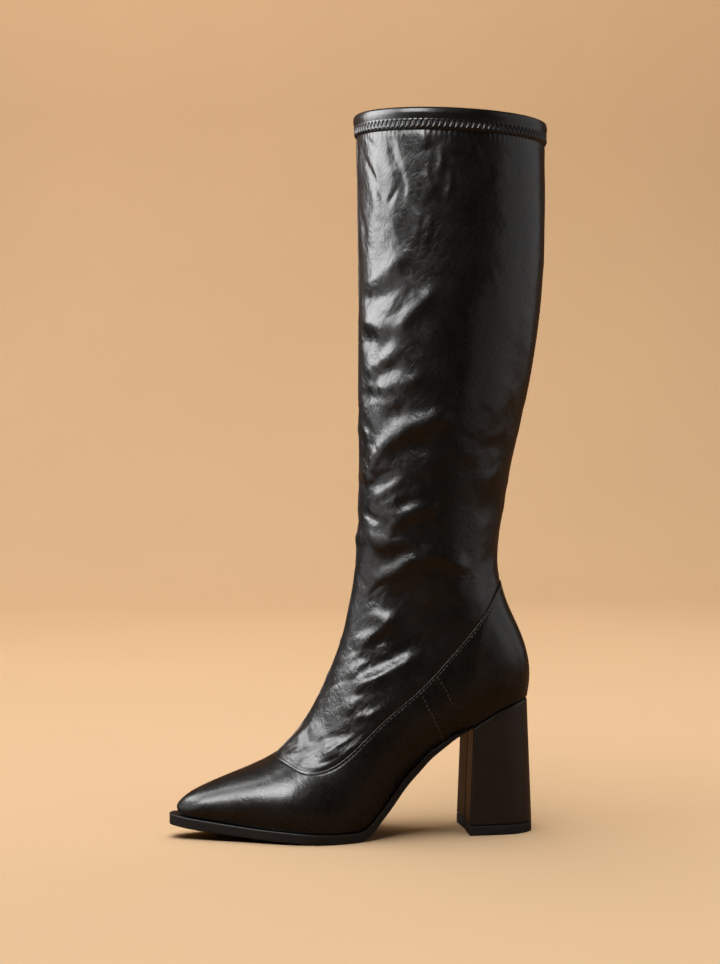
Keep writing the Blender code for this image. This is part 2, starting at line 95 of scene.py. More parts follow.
# Columns: along, top, thick.
PROFILE = np.array([
    (HEEL_BACK, 86.4, 0.8), (8, 85.7, 0.8), (15, 83.6, 0.9), (HEEL_STATION, 79.8, 0.9),
    (34, 74.1, 1.0), (43, 68.9, 1.2), (54, 64.4, 3.1), (62, 59.5, 4.2), (70, 54.2, 5.5),
    (76, 48.4, 6.2), (82, 42.6, 6.8), (87, 36.8, 7.1), (91.5, 30.7, 7.1), (96, 24.6, 7.0),
    (101, 18.5, 6.7), (106, 12.6, 6.5), (111, 8.2, 6.2), (116, 6.3, 6.1), (122, 6.0, 6.0),
    (134, 6.1, 6.1), (146, 6.6, 6.2), (160, 7.5, 6.4), (183, 9.1, 6.4), (205, 11.7, 6.7),
    (TOE_STATION, 13.8, 6.8), (SOLE_TIP, 15.7, 6.9),
])
TREAD_FROM, TREAD_TO = 117.0, 145.0     # the forefoot's flat, on the floor

# Columns: edge, ridge along, ridge high, outer, inner, widest, crown, root.
FOOT = np.array([
    (0.000, 227.4, 17.0, 5.6, 11.0, 0.04, 1.65, 2.0),
    (0.018, 227.9, 19.8, 7.9, 13.0, 0.07, 1.75, 2.0),
    (0.038, 225.4, 23.6, 10.4, 15.2, 0.10, 1.85, 2.0),
    (0.075, 219.0, 28.4, 14.2, 18.4, 0.13, 1.95, 2.0),
    (0.130, 207.5, 33.9, 19.9, 23.1, 0.15, 2.0, 2.0),
    (0.200, 194.0, 39.2, 27.1, 29.0, 0.17, 2.0, 2.0),
    (0.280, 180.0, 44.6, 34.6, 34.9, 0.19, 2.0, 2.0),
    (0.360, 167.0, 50.9, 39.0, 36.9, 0.21, 2.0, 2.0),
    (0.440, 155.8, 60.0, 38.9, 35.6, 0.24, 1.95, 2.0),
    (0.520, 146.6, 72.6, 37.4, 33.8, 0.28, 1.9, 2.0),
    (0.600, 139.0, 86.3, 35.8, 32.6, 0.32, 1.9, 2.0),
    (0.680, 132.5, 101.0, 34.4, 31.8, 0.36, 1.95, 2.1),
    (0.760, 127.3, 112.8, 33.2, 31.3, 0.38, 2.0, 2.2),
    (0.840, 123.4, 123.4, 32.3, 31.0, 0.38, 2.0, 2.2),
    (0.900, 121.0, 131.5, 31.8, 31.0, 0.38, 2.0, 2.2),
    (0.950, 119.4, 137.8, 31.5, 31.0, 0.38, 2.0, 2.2),
    (1.000, 118.1, 143.6, 31.4, 31.0, 0.38, 2.0, 2.2),
])
# Columns: ridge along, ridge high, back along, back high, half, widest, crown, root.
LEG = np.array([
    (116.2, 153.5, 1.5, 102.0, 31.6, 0.39, 2.0, 2.2),
    (114.8, 164.0, 6.0, 123.5, 32.0, 0.41, 2.0, 2.15),
    (113.7, 177.0, 14.0, 141.5, 32.8, 0.44, 2.0, 2.1),
    (112.8, 192.0, 20.2, 160.0, 34.0, 0.47, 2.0, 2.0),
    (112.1, 208.0, 22.1, 180.0, 35.5, 0.49, 2.0, 2.0),
    (111.8, 228.0, 19.0, 205.0, 37.8, 0.50, 2.0, 2.0),
    (111.7, 253.0, 13.9, 234.0, 41.0, 0.50, 2.0, 2.0),
    (111.6, 282.0, 7.3, 263.5, 45.0, 0.50, 2.0, 2.0),
    (111.7, 312.0, 0.5, 297.0, 48.8, 0.50, 2.0, 2.0),
    (112.1, 345.0, -5.3, 338.0, 52.3, 0.50, 2.0, 2.0),
    (112.4, 380.0, -7.2, 378.0, 54.2, 0.50, 2.0, 2.0),
    (112.8, 418.0, -7.4, 415.0, 55.3, 0.50, 2.0, 2.0),
    (113.4, 454.7, -6.8, 449.6, 56.0, 0.50, 2.0, 2.0),
])
# Columns: along, high.
SEAM = np.array([
    (14.0, 166.0), (20.4, 160.8), (35.0, 142.5), (55.0, 117.9), (78.9, 93.4), (103.3, 73.2),
    (125.4, 52.4), (134.6, 46.6), (143.5, 44.3), (152.2, 45.6), (158.5, 48.6), (166.0, 52.6),
    (176.0, 57.0),
])

# --- The last ---
FINE = 40               # sections worked out for each row of the tables
FINE_COLUMNS = 220      # points on each half of them
TRACE = 500             # steps along each part of a half, before it is divided evenly


def spline(knots, values, at):
    """A natural cubic spline through values, one row for each knot, read at the places in at."""
    knots, values, at = np.asarray(knots, float), np.asarray(values, float), np.asarray(at, float)
    last = len(knots) - 1
    step = np.diff(knots)
    slope = np.diff(values, axis=0) / step[:, None]
    matrix, right = np.eye(last + 1), np.zeros_like(values)
    for i in range(1, last):
        matrix[i, i - 1:i + 2] = step[i - 1], 2 * (step[i - 1] + step[i]), step[i]
        right[i] = 6 * (slope[i] - slope[i - 1])
    bend = np.linalg.solve(matrix, right)
    i = np.clip(np.searchsorted(knots, at, "right") - 1, 0, last - 1)
    width, before, after = (a[:, None] for a in (step[i], at - knots[i], knots[i + 1] - at))
    cubic = (bend[i] * after ** 3 + bend[i + 1] * before ** 3) / (6 * width)
    line = (values[i] / width - bend[i] * width / 6) * after
    return cubic + line + (values[i + 1] / width - bend[i + 1] * width / 6) * before


def chord(points):
    """Distance along a line of points."""
    return np.concatenate([[0.0], np.cumsum(np.linalg.norm(np.diff(points, axis=0), axis=1))])


def unit(vectors):
    return vectors / np.maximum(np.linalg.norm(vectors, axis=-1, keepdims=True), 1e-9)


def smooth(low, high, value):
    """0 below low, 1 above high, and an S between them."""
    share = np.clip((value - low) / (high - low), 0, 1)
    return share * share * (3 - 2 * share)


def sole_top(along):
    return spline(PROFILE[:, 0], PROFILE[:, 1:2], along)[:, 0]


def sole_bottom(along):
    high, thick = spline(PROFILE[:, 0], PROFILE[:, 1:], along).T
    on_floor = (along > TREAD_FROM) & (along < TREAD_TO)
    return np.where(on_floor, 0.0, np.maximum(high - thick, 0.0))


def round_end(start, slope, end, weight, steps):
    """Rational arc (x, y) from start, where it has the slope, to end, where it runs along Y."""
    corner = np.array([end[0], start[1] + slope * (end[0] - start[0])])
    t = np.linspace(0, 1, steps + 1)[:, None]
    near, middle, far = (1 - t) ** 2, 2 * weight * t * (1 - t), t ** 2
    return (near * start + middle * corner + far * end) / (near + middle + far)


def outline(ledge=0.0, inset=0.0, back=HEEL_BACK, tip=TOE_TIP, tip_arc=TOE_ARC, arc_steps=24,
            run_steps=160):
    """The feather edge with its ledge, drawn in by inset, heel to tip: along, outer, inner."""
    run = np.linspace(HEEL_STATION, TOE_STATION, run_steps + 1)
    widths = spline(OUTLINE[:, 0], OUTLINE[:, 1:], run)
    outer, inner = (widths[:, side] + ledge * widths[:, 2] - inset for side in (0, 1))
    heel_end = np.array([back, (outer[0] - inner[0]) / 2])
    toe_end = np.array([tip, (outer[-1] - inner[-1]) / 2])
    step = run[1] - run[0]
    halves = []
    for y in (outer, -inner):
        line = np.column_stack([run, y])
        heel = round_end(line[0], (y[1] - y[0]) / step, heel_end, HEEL_ARC, arc_steps)[::-1]
        toe = round_end(line[-1], (y[-1] - y[-2]) / step, toe_end, tip_arc, arc_steps)
        halves.append(np.concatenate([heel[:-1], line, toe[1:]]))
    return np.column_stack([halves[0], halves[1][:, 1]])


def swing(along, y):
    """How far the toe's slant moves a point forward."""
    share = np.clip((along - LEAD_FROM) / (TOE_STATION - LEAD_FROM), 0, 1)
    return TOE_LEAD * share ** 1.5 * (y - RIDGE_SHIFT)


def fan():
    """Fine table of sections: back, ridge, half widths, shape, and half widths at the bottom."""
    edge = outline(arc_steps=60, run_steps=200)
    edge = edge[edge[:, 0] <= TOE_STATION][::-1]
    way = chord(edge[:, :2])
    way /= way[-1]
    closed = len(FOOT) - 1
    along = np.interp(FOOT[:, 0], way, edge[:, 0])
    low = np.concatenate([np.column_stack([along, sole_top(along) + EDGE_GAP]), LEG[:, 2:4]])
    ridge = np.concatenate([FOOT[:, 1:3], LEG[:, :2]])
    widths_and_shape = np.concatenate([FOOT[:, 3:], LEG[:, [4, 4, 5, 6, 7]]])
    travel = (chord(low) + chord(ridge)) / 2
    at_row = np.linspace(0, len(low) - 1, (len(low) - 1) * FINE + 1)
    at = np.interp(at_row, np.arange(len(low)), travel)
    fine = spline(travel, np.column_stack([ridge, widths_and_shape]), at)
    up = at_row > closed
    round_edge = np.ones(len(at))
    round_edge[~up] = np.clip(spline(travel[:closed + 1], FOOT[:, :1], at[~up])[:, 0], 0, 1)
    back, outer, inner = (np.interp(round_edge, way, edge[:, column]) for column in (0, 1, 2))
    high = sole_top(back) + EDGE_GAP
    back[up], high[up] = spline(travel[closed:], low[closed:], at[up]).T
    outer[up] = inner[up] = 0.0
    shift = RIDGE_SHIFT * np.clip(1 - at / travel[closed], 0, 1) ** 0.8
    return closed * FINE, np.column_stack([back, high, fine, outer, inner, shift])


def half_section(high, width, foot_y, middle, widest, crown, root):
    """Points (y, height in the section) from the ridge down one side, evenly spaced."""
    rise = widest * high
    angle = np.linspace(np.pi / 2, 0, TRACE)
    y = middle + (width - middle) * np.cos(angle) ** (2 / crown)
    up = rise + (high - rise) * np.sin(angle) ** (2 / crown)
    share = np.clip((foot_y - middle) / (width - middle), 0, 1)
    lowest = np.arccos(share ** (root / 2))
    drop = rise / max(np.sin(lowest), 1e-6) ** (2 / root)
    angle = np.linspace(0, lowest, TRACE)[1:]
    y = np.concatenate([y, middle + (width - middle) * np.cos(angle) ** (2 / root)])
    up = np.concatenate([up, rise - drop * np.sin(angle) ** (2 / root)])
    line = np.column_stack([y, up])
    way = chord(line)
    at = np.linspace(0, way[-1], FINE_COLUMNS + 1)
    return np.column_stack([np.interp(at, way, line[:, 0]), np.interp(at, way, line[:, 1])])


Last = namedtuple("Last", "points normals around closed")


@functools.lru_cache(maxsize=None)
def make_last():
    """Fine grids over the last: points, outward normals, and distance round from the ridge."""
    closed, table = fan()
    grid = np.empty((len(table), 2 * FINE_COLUMNS + 1, 3))
    for i, row in enumerate(table):
        back, low, ridge, top, outer, inner, widest, crown, root, foot_out, foot_in, middle = row
        run, rise = ridge - back, top - low
        high = np.hypot(run, rise)
        sides = (half_section(high, -inner, foot_in, middle, widest, crown, root),
                 half_section(high, outer, foot_out, middle, widest, crown, root))
        line = np.concatenate([sides[0][::-1], sides[1][1:]])
        grid[i, :, 0] = back + run * line[:, 1] / high + swing(back, line[:, 0])
        grid[i, :, 1] = line[:, 0]
        grid[i, :, 2] = low + rise * line[:, 1] / high
    normals = unit(np.cross(np.gradient(grid, axis=1), np.gradient(grid, axis=0)))
    seam = unit(normals[closed:, 0] + normals[closed:, -1])
    normals[closed:, 0] = normals[closed:, -1] = seam
    if normals[len(table) // 2, FINE_COLUMNS, 0] < 0:
        normals = -normals
    steps = np.linalg.norm(np.diff(grid, axis=1), axis=2)
    around = np.concatenate([np.zeros((len(grid), 1)), np.cumsum(steps, axis=1)], axis=1)
    return Last(grid, normals, around - around[:, FINE_COLUMNS:FINE_COLUMNS + 1], closed)


def above_seam(points):
    """How far each point is above the seam, square to it, seen from the side."""
    way = chord(SEAM)
    line = spline(way, SEAM, np.linspace(0, way[-1], 400))
    steep = np.hypot(1, np.gradient(line[:, 1], line[:, 0]))
    along = points[..., 0]
    over = points[..., 2] - np.interp(along, line[:, 0], line[:, 1])
    return over / np.interp(along, line[:, 0], steep)


def seam_shares(grid, beyond):
    """How far down each half section, from the ridge, the seam crosses it: inner, outer, ends.

    The seam is first moved up by "beyond". A share of 0 is a section all below it, and 1 one all
    above it. "ends" holds the fractional rows where it crosses the ridge and the back.
    """
    over = above_seam(grid) - beyond
    half = grid.shape[1] // 2
    shares = []
    for side in (over[:, half::-1], over[:, half:]):
        share = np.ones(len(grid))
        for i, row in enumerate(side):
            below = np.nonzero(row < 0)[0]
            if len(below) and below[0] > 0:
                j = below[0]
                share[i] = (j - 1 + row[j - 1] / (row[j - 1] - row[j])) / half
            elif len(below):
                share[i] = 0.0
        shares.append(share)
    ends = []
    for column in (half, 0):
        i = np.nonzero(over[:, column] < 0)[0][-1]
        ends.append(i + over[i, column] / (over[i, column] - over[i + 1, column]))
    return shares[0], shares[1], ends


def sample(grid, rows, shares):
    """Values at fractional rows and at shares from -1 (inner end) to 1 (outer end)."""
    half = grid.shape[1] // 2
    rows, shares = np.broadcast_arrays(rows, shares)
    i = np.clip(rows.astype(int), 0, len(grid) - 2)
    down = (rows - i)[..., None]
    column = (shares + 1) * half
    j = np.clip(column.astype(int), 0, 2 * half - 1)
    across_cell = (column - j)[..., None]
    near = grid[i, j] * (1 - across_cell) + grid[i, j + 1] * across_cell
    far = grid[i + 1, j] * (1 - across_cell) + grid[i + 1, j + 1] * across_cell
    return near * (1 - down) + far * down


def even_rows(last, start, end, count, power=1.0):
    """Fractional rows from start to end, evenly spaced over the ridge and the back together."""
    fine = np.linspace(start, end, 20 * count)
    ridge, back = sample(last.points, fine, 0.0), sample(last.points, fine, 1.0)
    way = chord(ridge) + 0.5 * chord(back)
    shares = np.linspace(0, 1, count + 1) ** power
    rows = np.interp(shares * way[-1], way, fine)
    rows[0], rows[-1] = start, end
    return rows


Patch = namedtuple("Patch", "points normals around end")


def patch(last, rows, shares):
    """Points and normals at rows and shares, with their distance round and the section's whole."""
    around = sample(last.around[..., None], rows, shares)[..., 0]
    end = sample(last.around[..., None], rows, np.where(np.asarray(shares) < 0, -1.0, 1.0))[..., 0]
    return Patch(sample(last.points, rows, shares), unit(sample(last.normals, rows, shares)),
                 around, np.abs(end))


# --- Meshes ---
def grid_faces(rows, columns, start=0, flip=False):
    """Corner numbers of the quads of a grid whose points are numbered row by row."""
    i, j = np.meshgrid(np.arange(rows - 1), np.arange(columns - 1), indexing="ij")
    first = (start + i * columns + j).ravel()
    quads = np.column_stack([first, first + 1, first + columns + 1, first + columns])
    return quads[:, ::-1] if flip else quads


def new_object(name, points, faces, material, weld=0.0, sharp=None, outward=False):
    """One named object from points in table millimetres, moved into the frame."""
    placed = (np.asarray(points, float).reshape(-1, 3) - np.array([MIDDLE, 0.0, 0.0])) * MM
    mesh = bpy.data.meshes.new(name)
    mesh.from_pydata(placed.tolist(), [], np.asarray(faces).tolist())
    if weld or outward:
        bm = bmesh.new()
        bm.from_mesh(mesh)
        if weld:
            bmesh.ops.remove_doubles(bm, verts=bm.verts, dist=weld * MM)
        if outward:
            bmesh.ops.recalc_face_normals(bm, faces=bm.faces)
        bm.to_mesh(mesh)
        bm.free()
    mesh.shade_smooth()
    if sharp is not None:
        mesh.set_sharp_from_angle(angle=sharp)
    mesh.materials.append(material)
    piece = bpy.data.objects.new(name, mesh)
    bpy.context.scene.collection.objects.link(piece)
    return piece


def grids_object(name, grids, material, weld=0.002, flip=False, sharp=None, outward=False):
    """One object from several grids of points that share edges."""
    points, faces, start = [], [], 0
    for grid in grids:
        rows, columns = grid.shape[:2]
        points.append(grid.reshape(-1, 3))
        faces.append(grid_faces(rows, columns, start, flip))
        start += rows * columns
    return new_object(name, np.concatenate(points), np.concatenate(faces), material, weld, sharp,
                      outward)


def settle(piece, slot, *nodes):
    """The piece rides on the boot and takes any nodes' place; the slot is not used."""
    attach(piece, "root")
    if nodes:
        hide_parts(*nodes)


BATCH = 4000            # points measured at a time, to spare memory


def nearest_on_line(points, line):
    """Distance from each point to a line of points, and how far along the line that is."""
    start, step = line[:-1], np.diff(line, axis=0)
    long = np.maximum((step ** 2).sum(1), 1e-12)
    way = chord(line)
    flat = points.reshape(-1, points.shape[-1])
    best, place = np.empty(len(flat)), np.empty(len(flat))
    for low in range(0, len(flat), BATCH):
        part = flat[low:low + BATCH, None]
        share = np.clip(((part - start) * step).sum(2) / long, 0, 1)
        gap = np.linalg.norm(part - start - share[..., None] * step, axis=2)
        pick = gap.argmin(1)
        rows = np.arange(len(gap))
        best[low:low + BATCH] = gap[rows, pick]
        place[low:low + BATCH] = way[pick] + share[rows, pick] * np.sqrt(long[pick])
    return best.reshape(points.shape[:-1]), place.reshape(points.shape[:-1])


# --- Creases ---
def table_of(kind, rows):
    return [kind(*row) for row in rows]


Crease = namedtuple("Crease", "height width line")
# Leg: soft ridges (height above 0) and troughs (below), each along a line of (around, high).
LEG_CREASES = table_of(Crease, [
    # Calf, where the shaft starts to sink in front.
    (1.1, 6.0, [(8, 348), (26, 351), (39, 358), (49, 364), (60, 368)]),
    (-1.0, 5.5, [(6, 342), (30, 340), (42, 344), (52, 349)]),
    (1.2, 5.0, [(5, 329), (21, 324), (32, 320), (37, 313)]),
    (-1.3, 6.0, [(8, 315), (22, 313), (31, 315)]),
    (1.2, 5.0, [(8, 298), (24, 296), (33, 301), (42, 306), (51, 310)]),
    (-1.1, 4.5, [(19, 293), (33, 294), (42, 297), (48, 302)]),
    (1.1, 4.5, [(12, 285), (32, 283), (43, 285), (53, 288), (62, 295)]),
    (-0.9, 4.0, [(6, 279), (24, 280), (38, 282)]),
    (1.4, 4.8, [(38, 316), (47, 323), (56, 331), (63, 338), (70, 349)]),
    (-0.6, 4.0, [(40, 330), (48, 337), (57, 347)]),
    (0.8, 4.0, [(25, 272), (37, 275), (45, 279)]),
    (-1.2, 5.0, [(26, 266), (41, 267), (52, 271)]),
    # The long fold across the lower calf and the streaks under it.
    (2.3, 6.5, [(9, 222), (17, 232), (24, 241), (31, 247), (39, 252), (49, 258), (62, 263),
               (78, 270)]),
    (-1.5, 7.0, [(29, 240), (41, 245), (52, 248), (68, 251)]),
    (-0.5, 1.6, [(6, 241), (14, 238), (22, 232)]),
    (-0.6, 2.6, [(19, 226), (31, 230), (43, 233)]),
    (0.8, 3.0, [(12, 213), (26, 217), (37, 222), (46, 226)]),
    (-0.6, 2.6, [(12, 220), (26, 224), (37, 228), (47, 232)]),
    (0.8, 2.8, [(24, 209), (37, 214), (47, 220)]),
    (1.9, 5.5, [(26, 193), (40, 201), (48, 206), (57, 209), (68, 213)]),
    (1.4, 5.0, [(11, 194), (22, 189), (30, 188), (35, 195)]),
    (-1.1, 3.0, [(5, 208), (19, 202), (31, 198)]),
    (0.9, 3.5, [(21, 184), (34, 185), (45, 187), (53, 184), (61, 183), (67, 187)]),
    # Ankle.
    (2.0, 5.2, [(16, 166), (27, 165), (37, 169), (46, 175), (59, 178), (70, 178), (80, 172),
               (88, 166)]),
    (-1.0, 6.0, [(16, 177), (32, 176), (47, 181)]),
    (-0.5, 1.6, [(6, 166), (18, 155)]),
    (-0.5, 1.6, [(34, 165), (20, 155), (11, 149)]),
    (1.5, 4.8, [(17, 144), (27, 139), (36, 140), (43, 143)]),
    (-0.7, 4.5, [(16, 152), (30, 150)]),
    (2.1, 5.2, [(16, 116), (22, 124), (29, 130), (36, 135), (46, 139)]),
    (-0.5, 1.5, [(11, 125), (17, 119), (22, 116)]),
    # Instep: the strong crease above the quarter.
    (0.9, 4.0, [(24, 100), (25, 108), (25, 114)]),
    (1.6, 5.2, [(24, 94), (33, 98), (41, 102), (48, 108), (56, 113), (64, 117)]),
    (-0.9, 6.0, [(25, 103), (33, 108), (41, 113), (48, 119), (57, 124)]),
    (1.0, 5.0, [(27, 80), (33, 84), (36, 92)]),
    (0.7, 3.5, [(36, 78), (46, 79), (54, 78)]),
    (-0.9, 6.0, [(20, 70), (34, 65), (46, 66), (56, 70)]),
    # Below the collar: two crossing slants, and upright pleats where the band draws the leg in.
    (-0.55, 2.2, [(9, 434), (24, 418), (38, 393)]),
    (-0.5, 2.0, [(49, 415), (43, 403), (36, 392)]),
    (0.5, 5.0, [(16, 418), (28, 400), (33, 384)]),
    (-0.4, 2.2, [(12, 447), (26, 434), (36, 428)]),
    (-0.45, 3.0, [(6, 398), (14, 384), (13, 366)]),
    (0.7, 2.6, [(64, 443), (66, 428)]),
    (0.7, 2.4, [(73, 433), (75, 422), (71, 411)]),
    (0.6, 2.4, [(68, 423), (66, 412), (70, 403), (75, 396)]),
    (0.6, 2.2, [(79, 418), (80, 406), (75, 396)]),
    (0.7, 3.0, [(88, 440), (95, 430), (100, 418)]),
    (0.5, 2.0, [(78, 435), (88, 428), (99, 425)]),
    (0.6, 3.0, [(68, 394), (65, 378), (61, 364)]),
    (0.6, 3.0, [(55, 397), (60, 383), (55, 370)]),
    (-0.8, 3.4, [(40, 442), (44, 425), (50, 408), (47, 392)]),
    (0.6, 4.0, [(22, 430), (30, 412), (26, 395)]),
    # Behind, over the calf and the heel.
    (0.8, 7.0, [(88, 222), (103, 228), (118, 231)]),
    (-0.8, 7.0, [(90, 240), (106, 246), (120, 252)]),
    (0.6, 8.0, [(96, 262), (112, 275), (126, 292)]),
    (-0.6, 7.0, [(88, 202), (104, 208), (116, 214)]),
    (0.6, 7.0, [(100, 180), (112, 190), (120, 204)]),
])
# Foot: lines of (along, around).
FOOT_CREASES = table_of(Crease, [
    (-0.25, 0.7, [(140, 38), (141, 46)]),
    (0.8, 9.0, [(60, 92), (45, 95), (30, 98)]),
])


INNER_SOFTER, INNER_WIDER, INNER_SPREAD = 0.85, 1.1, 1.06


def other_side(creases):
    """The folds of the inner side: like the outer ones, a little higher and softer."""
    return [Crease(INNER_SOFTER * crease.height, INNER_WIDER * crease.width,
                   [(-INNER_SPREAD * around - 2.0, high + 5.0 + 4.0 * np.sin(high / 23.0))
                    for around, high in crease.line])
            for crease in creases]


# By height: how steeply the small folds run, the share that turns down, and their strength.
FOLD_SLOPE = [60, 120, 250, 420], [0.7, 0.35, 0.6, 1.1]
FOLD_TURNED = [60, 120, 420], [0.4, 0.2, 0.5]
FOLD_STRENGTH = [230, 300], [1.65, 1.0]
FOLD_LOW, FOLD_SPAN, FOLD_ROUND = 45, 400, 165          # where they lie
FOLD_LONG, FOLD_WIDE = (9, 30), (1.5, 4.0)
FOLD_TALL = (0.05, 0.145)       # as a share of their width


def small_folds(count, seed):
    """Short folds strewn over the leg: slanting near the collar, flatter at the ankle."""
    rng = np.random.default_rng(seed)
    creases = []
    for _ in range(count):
        high = FOLD_LOW + FOLD_SPAN * rng.random() ** 1.25
        around = rng.uniform(-FOLD_ROUND, FOLD_ROUND)
        front = np.exp(-(around / 60.0) ** 2)
        steep = np.interp(high, *FOLD_SLOPE) * rng.normal(1.0, 0.35)
        turn = steep * np.sign(rng.random() - np.interp(high, *FOLD_TURNED)) * np.sign(around)
        long = rng.uniform(*FOLD_LONG)
        bend = rng.normal(0, 0.16) * long
        half = np.array([np.cos(turn), np.sin(turn)]) * long / 2
        aside = np.array([-np.sin(turn), np.cos(turn)]) * bend
        middle = np.array([around, high])
        wide = rng.uniform(*FOLD_WIDE)
        tall = rng.uniform(*FOLD_TALL) * wide
        tall *= 0.45 + 0.6 * np.interp(high, *FOLD_STRENGTH) * front
        line = [middle - half, middle + aside, middle + half]
        creases.append(Crease(tall * rng.choice([-1, 1]), wide, line))
    return creases


def pressed(first, second, creases):
    """Sum of the creases at places given by two coordinates, fading at each crease's ends."""
    total = np.zeros(first.shape)
    for crease in creases:
        knots = np.array(crease.line, float)
        way = chord(knots)
        line = spline(way, knots, np.linspace(0, way[-1], 24))
        reach = 3.0 * crease.width
        low, high = line.min(0) - reach, line.max(0) + reach
        near = (first > low[0]) & (first < high[0]) & (second > low[1]) & (second < high[1])
        if not near.any():
            continue
        places = np.column_stack([first[near], second[near]])
        gap, place = nearest_on_line(places, line)
        long = chord(line)[-1]
        fade = min(0.4 * long, 14.0)
        ends = smooth(0, fade, place) * smooth(0, fade, long - place)
        total[near] += crease.height * ends * np.exp(-(gap / crease.width) ** 2)
    return total


def noise_at(points, size, seed):
    """Soft noise of about the given size in millimetres at each point."""
    flat = points.reshape(-1, 3) / size + seed * 17.3
    return np.array([noise.noise(Vector(p)) for p in flat]).reshape(points.shape[:-1])


# --- Finishes ---
def add(tree, kind, inputs=None, **settings):
    """A shader node with its settings, its inputs set or linked by name or number."""
    made = tree.nodes.new(kind)
    for name, value in settings.items():
        setattr(made, name, value)
    for name, value in (inputs or {}).items():
        if isinstance(value, bpy.types.NodeSocket):
            tree.links.new(value, made.inputs[name])
        else:
            made.inputs[name].default_value = value
    return made


def new_material(name, **sockets):
    """A material, its tree, its shader with the sockets set, and the object coordinates."""
    material = bpy.data.materials.new(name)
    material.use_nodes = True
    tree = material.node_tree
    shader = tree.nodes["Principled BSDF"]
    for socket, value in sockets.items():
        shader.inputs[socket.replace("_", " ")].default_value = value
    place = add(tree, "ShaderNodeTexCoord").outputs["Object"]
    return material, tree, shader, place


def colour(values):
    return (*values, 1.0)


def lighter(values, times):
    return [min(1.0, times * value) for value in values]


def mixed(tree, share, low, high):
    """A colour between two, by a share."""
    mix = add(tree, "ShaderNodeMix", {"Factor": share}, data_type="RGBA")
    for socket, value in ((mix.inputs[6], low), (mix.inputs[7], high)):
        socket.default_value = colour(value)
    return mix.outputs[2]


def paint_with(tree, shader, share, low, high):
    """The shader's colour runs from one colour to the other with the share."""
    tree.links.new(mixed(tree, share, low, high), shader.inputs["Base Color"])


def ranged(tree, value, low, high, to_low=0.0, to_high=1.0):
    return add(tree, "ShaderNodeMapRange", {
        "Value": value, "From Min": low, "From Max": high, "To Min": to_low, "To Max": to_high,
    }).outputs["Result"]


def summed(tree, *terms):
    """Sum of (value, weight) terms."""
    total = 0.0
    for value, weight in terms:
        total = add(tree, "ShaderNodeMath", {0: value, 1: weight, 2: total},
                    operation="MULTIPLY_ADD").outputs[0]
    return total


def bent_place(tree, place, size, amount):
    """The place, pushed about by noise, so that patterns over it don't run straight."""
    push = add(tree, "ShaderNodeTexNoise", {
        "Vector": place, "Scale": 1 / (size * MM), "Detail": 2.0})
    centred = add(tree, "ShaderNodeVectorMath", {0: push.outputs["Color"], 1: (0.5, 0.5, 0.5)},
                  operation="SUBTRACT")
    moved = add(tree, "ShaderNodeVectorMath", {0: centred.outputs[0], "Scale": amount * MM},
                operation="SCALE")
    return add(tree, "ShaderNodeVectorMath", {0: place, 1: moved.outputs[0]}).outputs[0]


def grain_of(tree, place, size, detail):
    return add(tree, "ShaderNodeTexNoise", {
        "Vector": place, "Scale": 1 / (size * MM), "Detail": detail, "Roughness": 0.6,
    }).outputs[0]


def bumped(tree, shader, *layers, strength=1.0):
    """Bump from (height, depth in millimetres) layers, linked to the shader's normal."""
    normal = None
    for height, depth in layers:
        inputs = {"Height": height, "Strength": strength, "Distance": depth * MM}
        if normal is not None:
            inputs["Normal"] = normal
        normal = add(tree, "ShaderNodeBump", inputs).outputs[0]
    tree.links.new(normal, shader.inputs["Normal"])


def drawn_place(tree, place, tilt, stretch):
    """The place, drawn out along a direction tilted in the side view."""
    return add(tree, "ShaderNodeMapping", {
        "Vector": place, "Rotation": (0.3 * tilt, tilt, 0.0), "Scale": (1.0, 1.0, stretch)},
        vector_type="TEXTURE").outputs[0]


CRINKLE_VALLEY = 0.28   # width of the valleys, as a share of a facet


def crinkles(tree, place, size, patches):
    """Sharp thin valleys between slanting facets, only where the patches are high."""
    cells = add(tree, "ShaderNodeTexVoronoi", {"Vector": place, "Scale": 1 / (size * MM)},
                feature="DISTANCE_TO_EDGE")
    facets = ranged(tree, cells.outputs["Distance"], 0.0, CRINKLE_VALLEY)
    return add(tree, "ShaderNodeMix", {"Factor": patches, 2: 1.0, 3: facets}).outputs[0]


Finish = namedtuple("Finish", "rough_low rough_high crush wrinkle coat")
STRETCH_LEATHER = Finish(0.26, 0.39, crush=1.0, wrinkle=1.0, coat=0.3)
SMOOTH_LEATHER = Finish(0.22, 0.34, crush=0.45, wrinkle=0.45, coat=0.22)
BAND_LEATHER = Finish(0.26, 0.40, crush=0.35, wrinkle=0.5, coat=0.25)
HEEL_LEATHER = Finish(0.30, 0.42, crush=0.15, wrinkle=0.15, coat=0.15)
BACK_CALM = 0.55        # strength of the grain behind, where the leather lies stretched
CALM_FROM, CALM_TO = 0.0, -0.045        # forward of the frame's origin, in metres


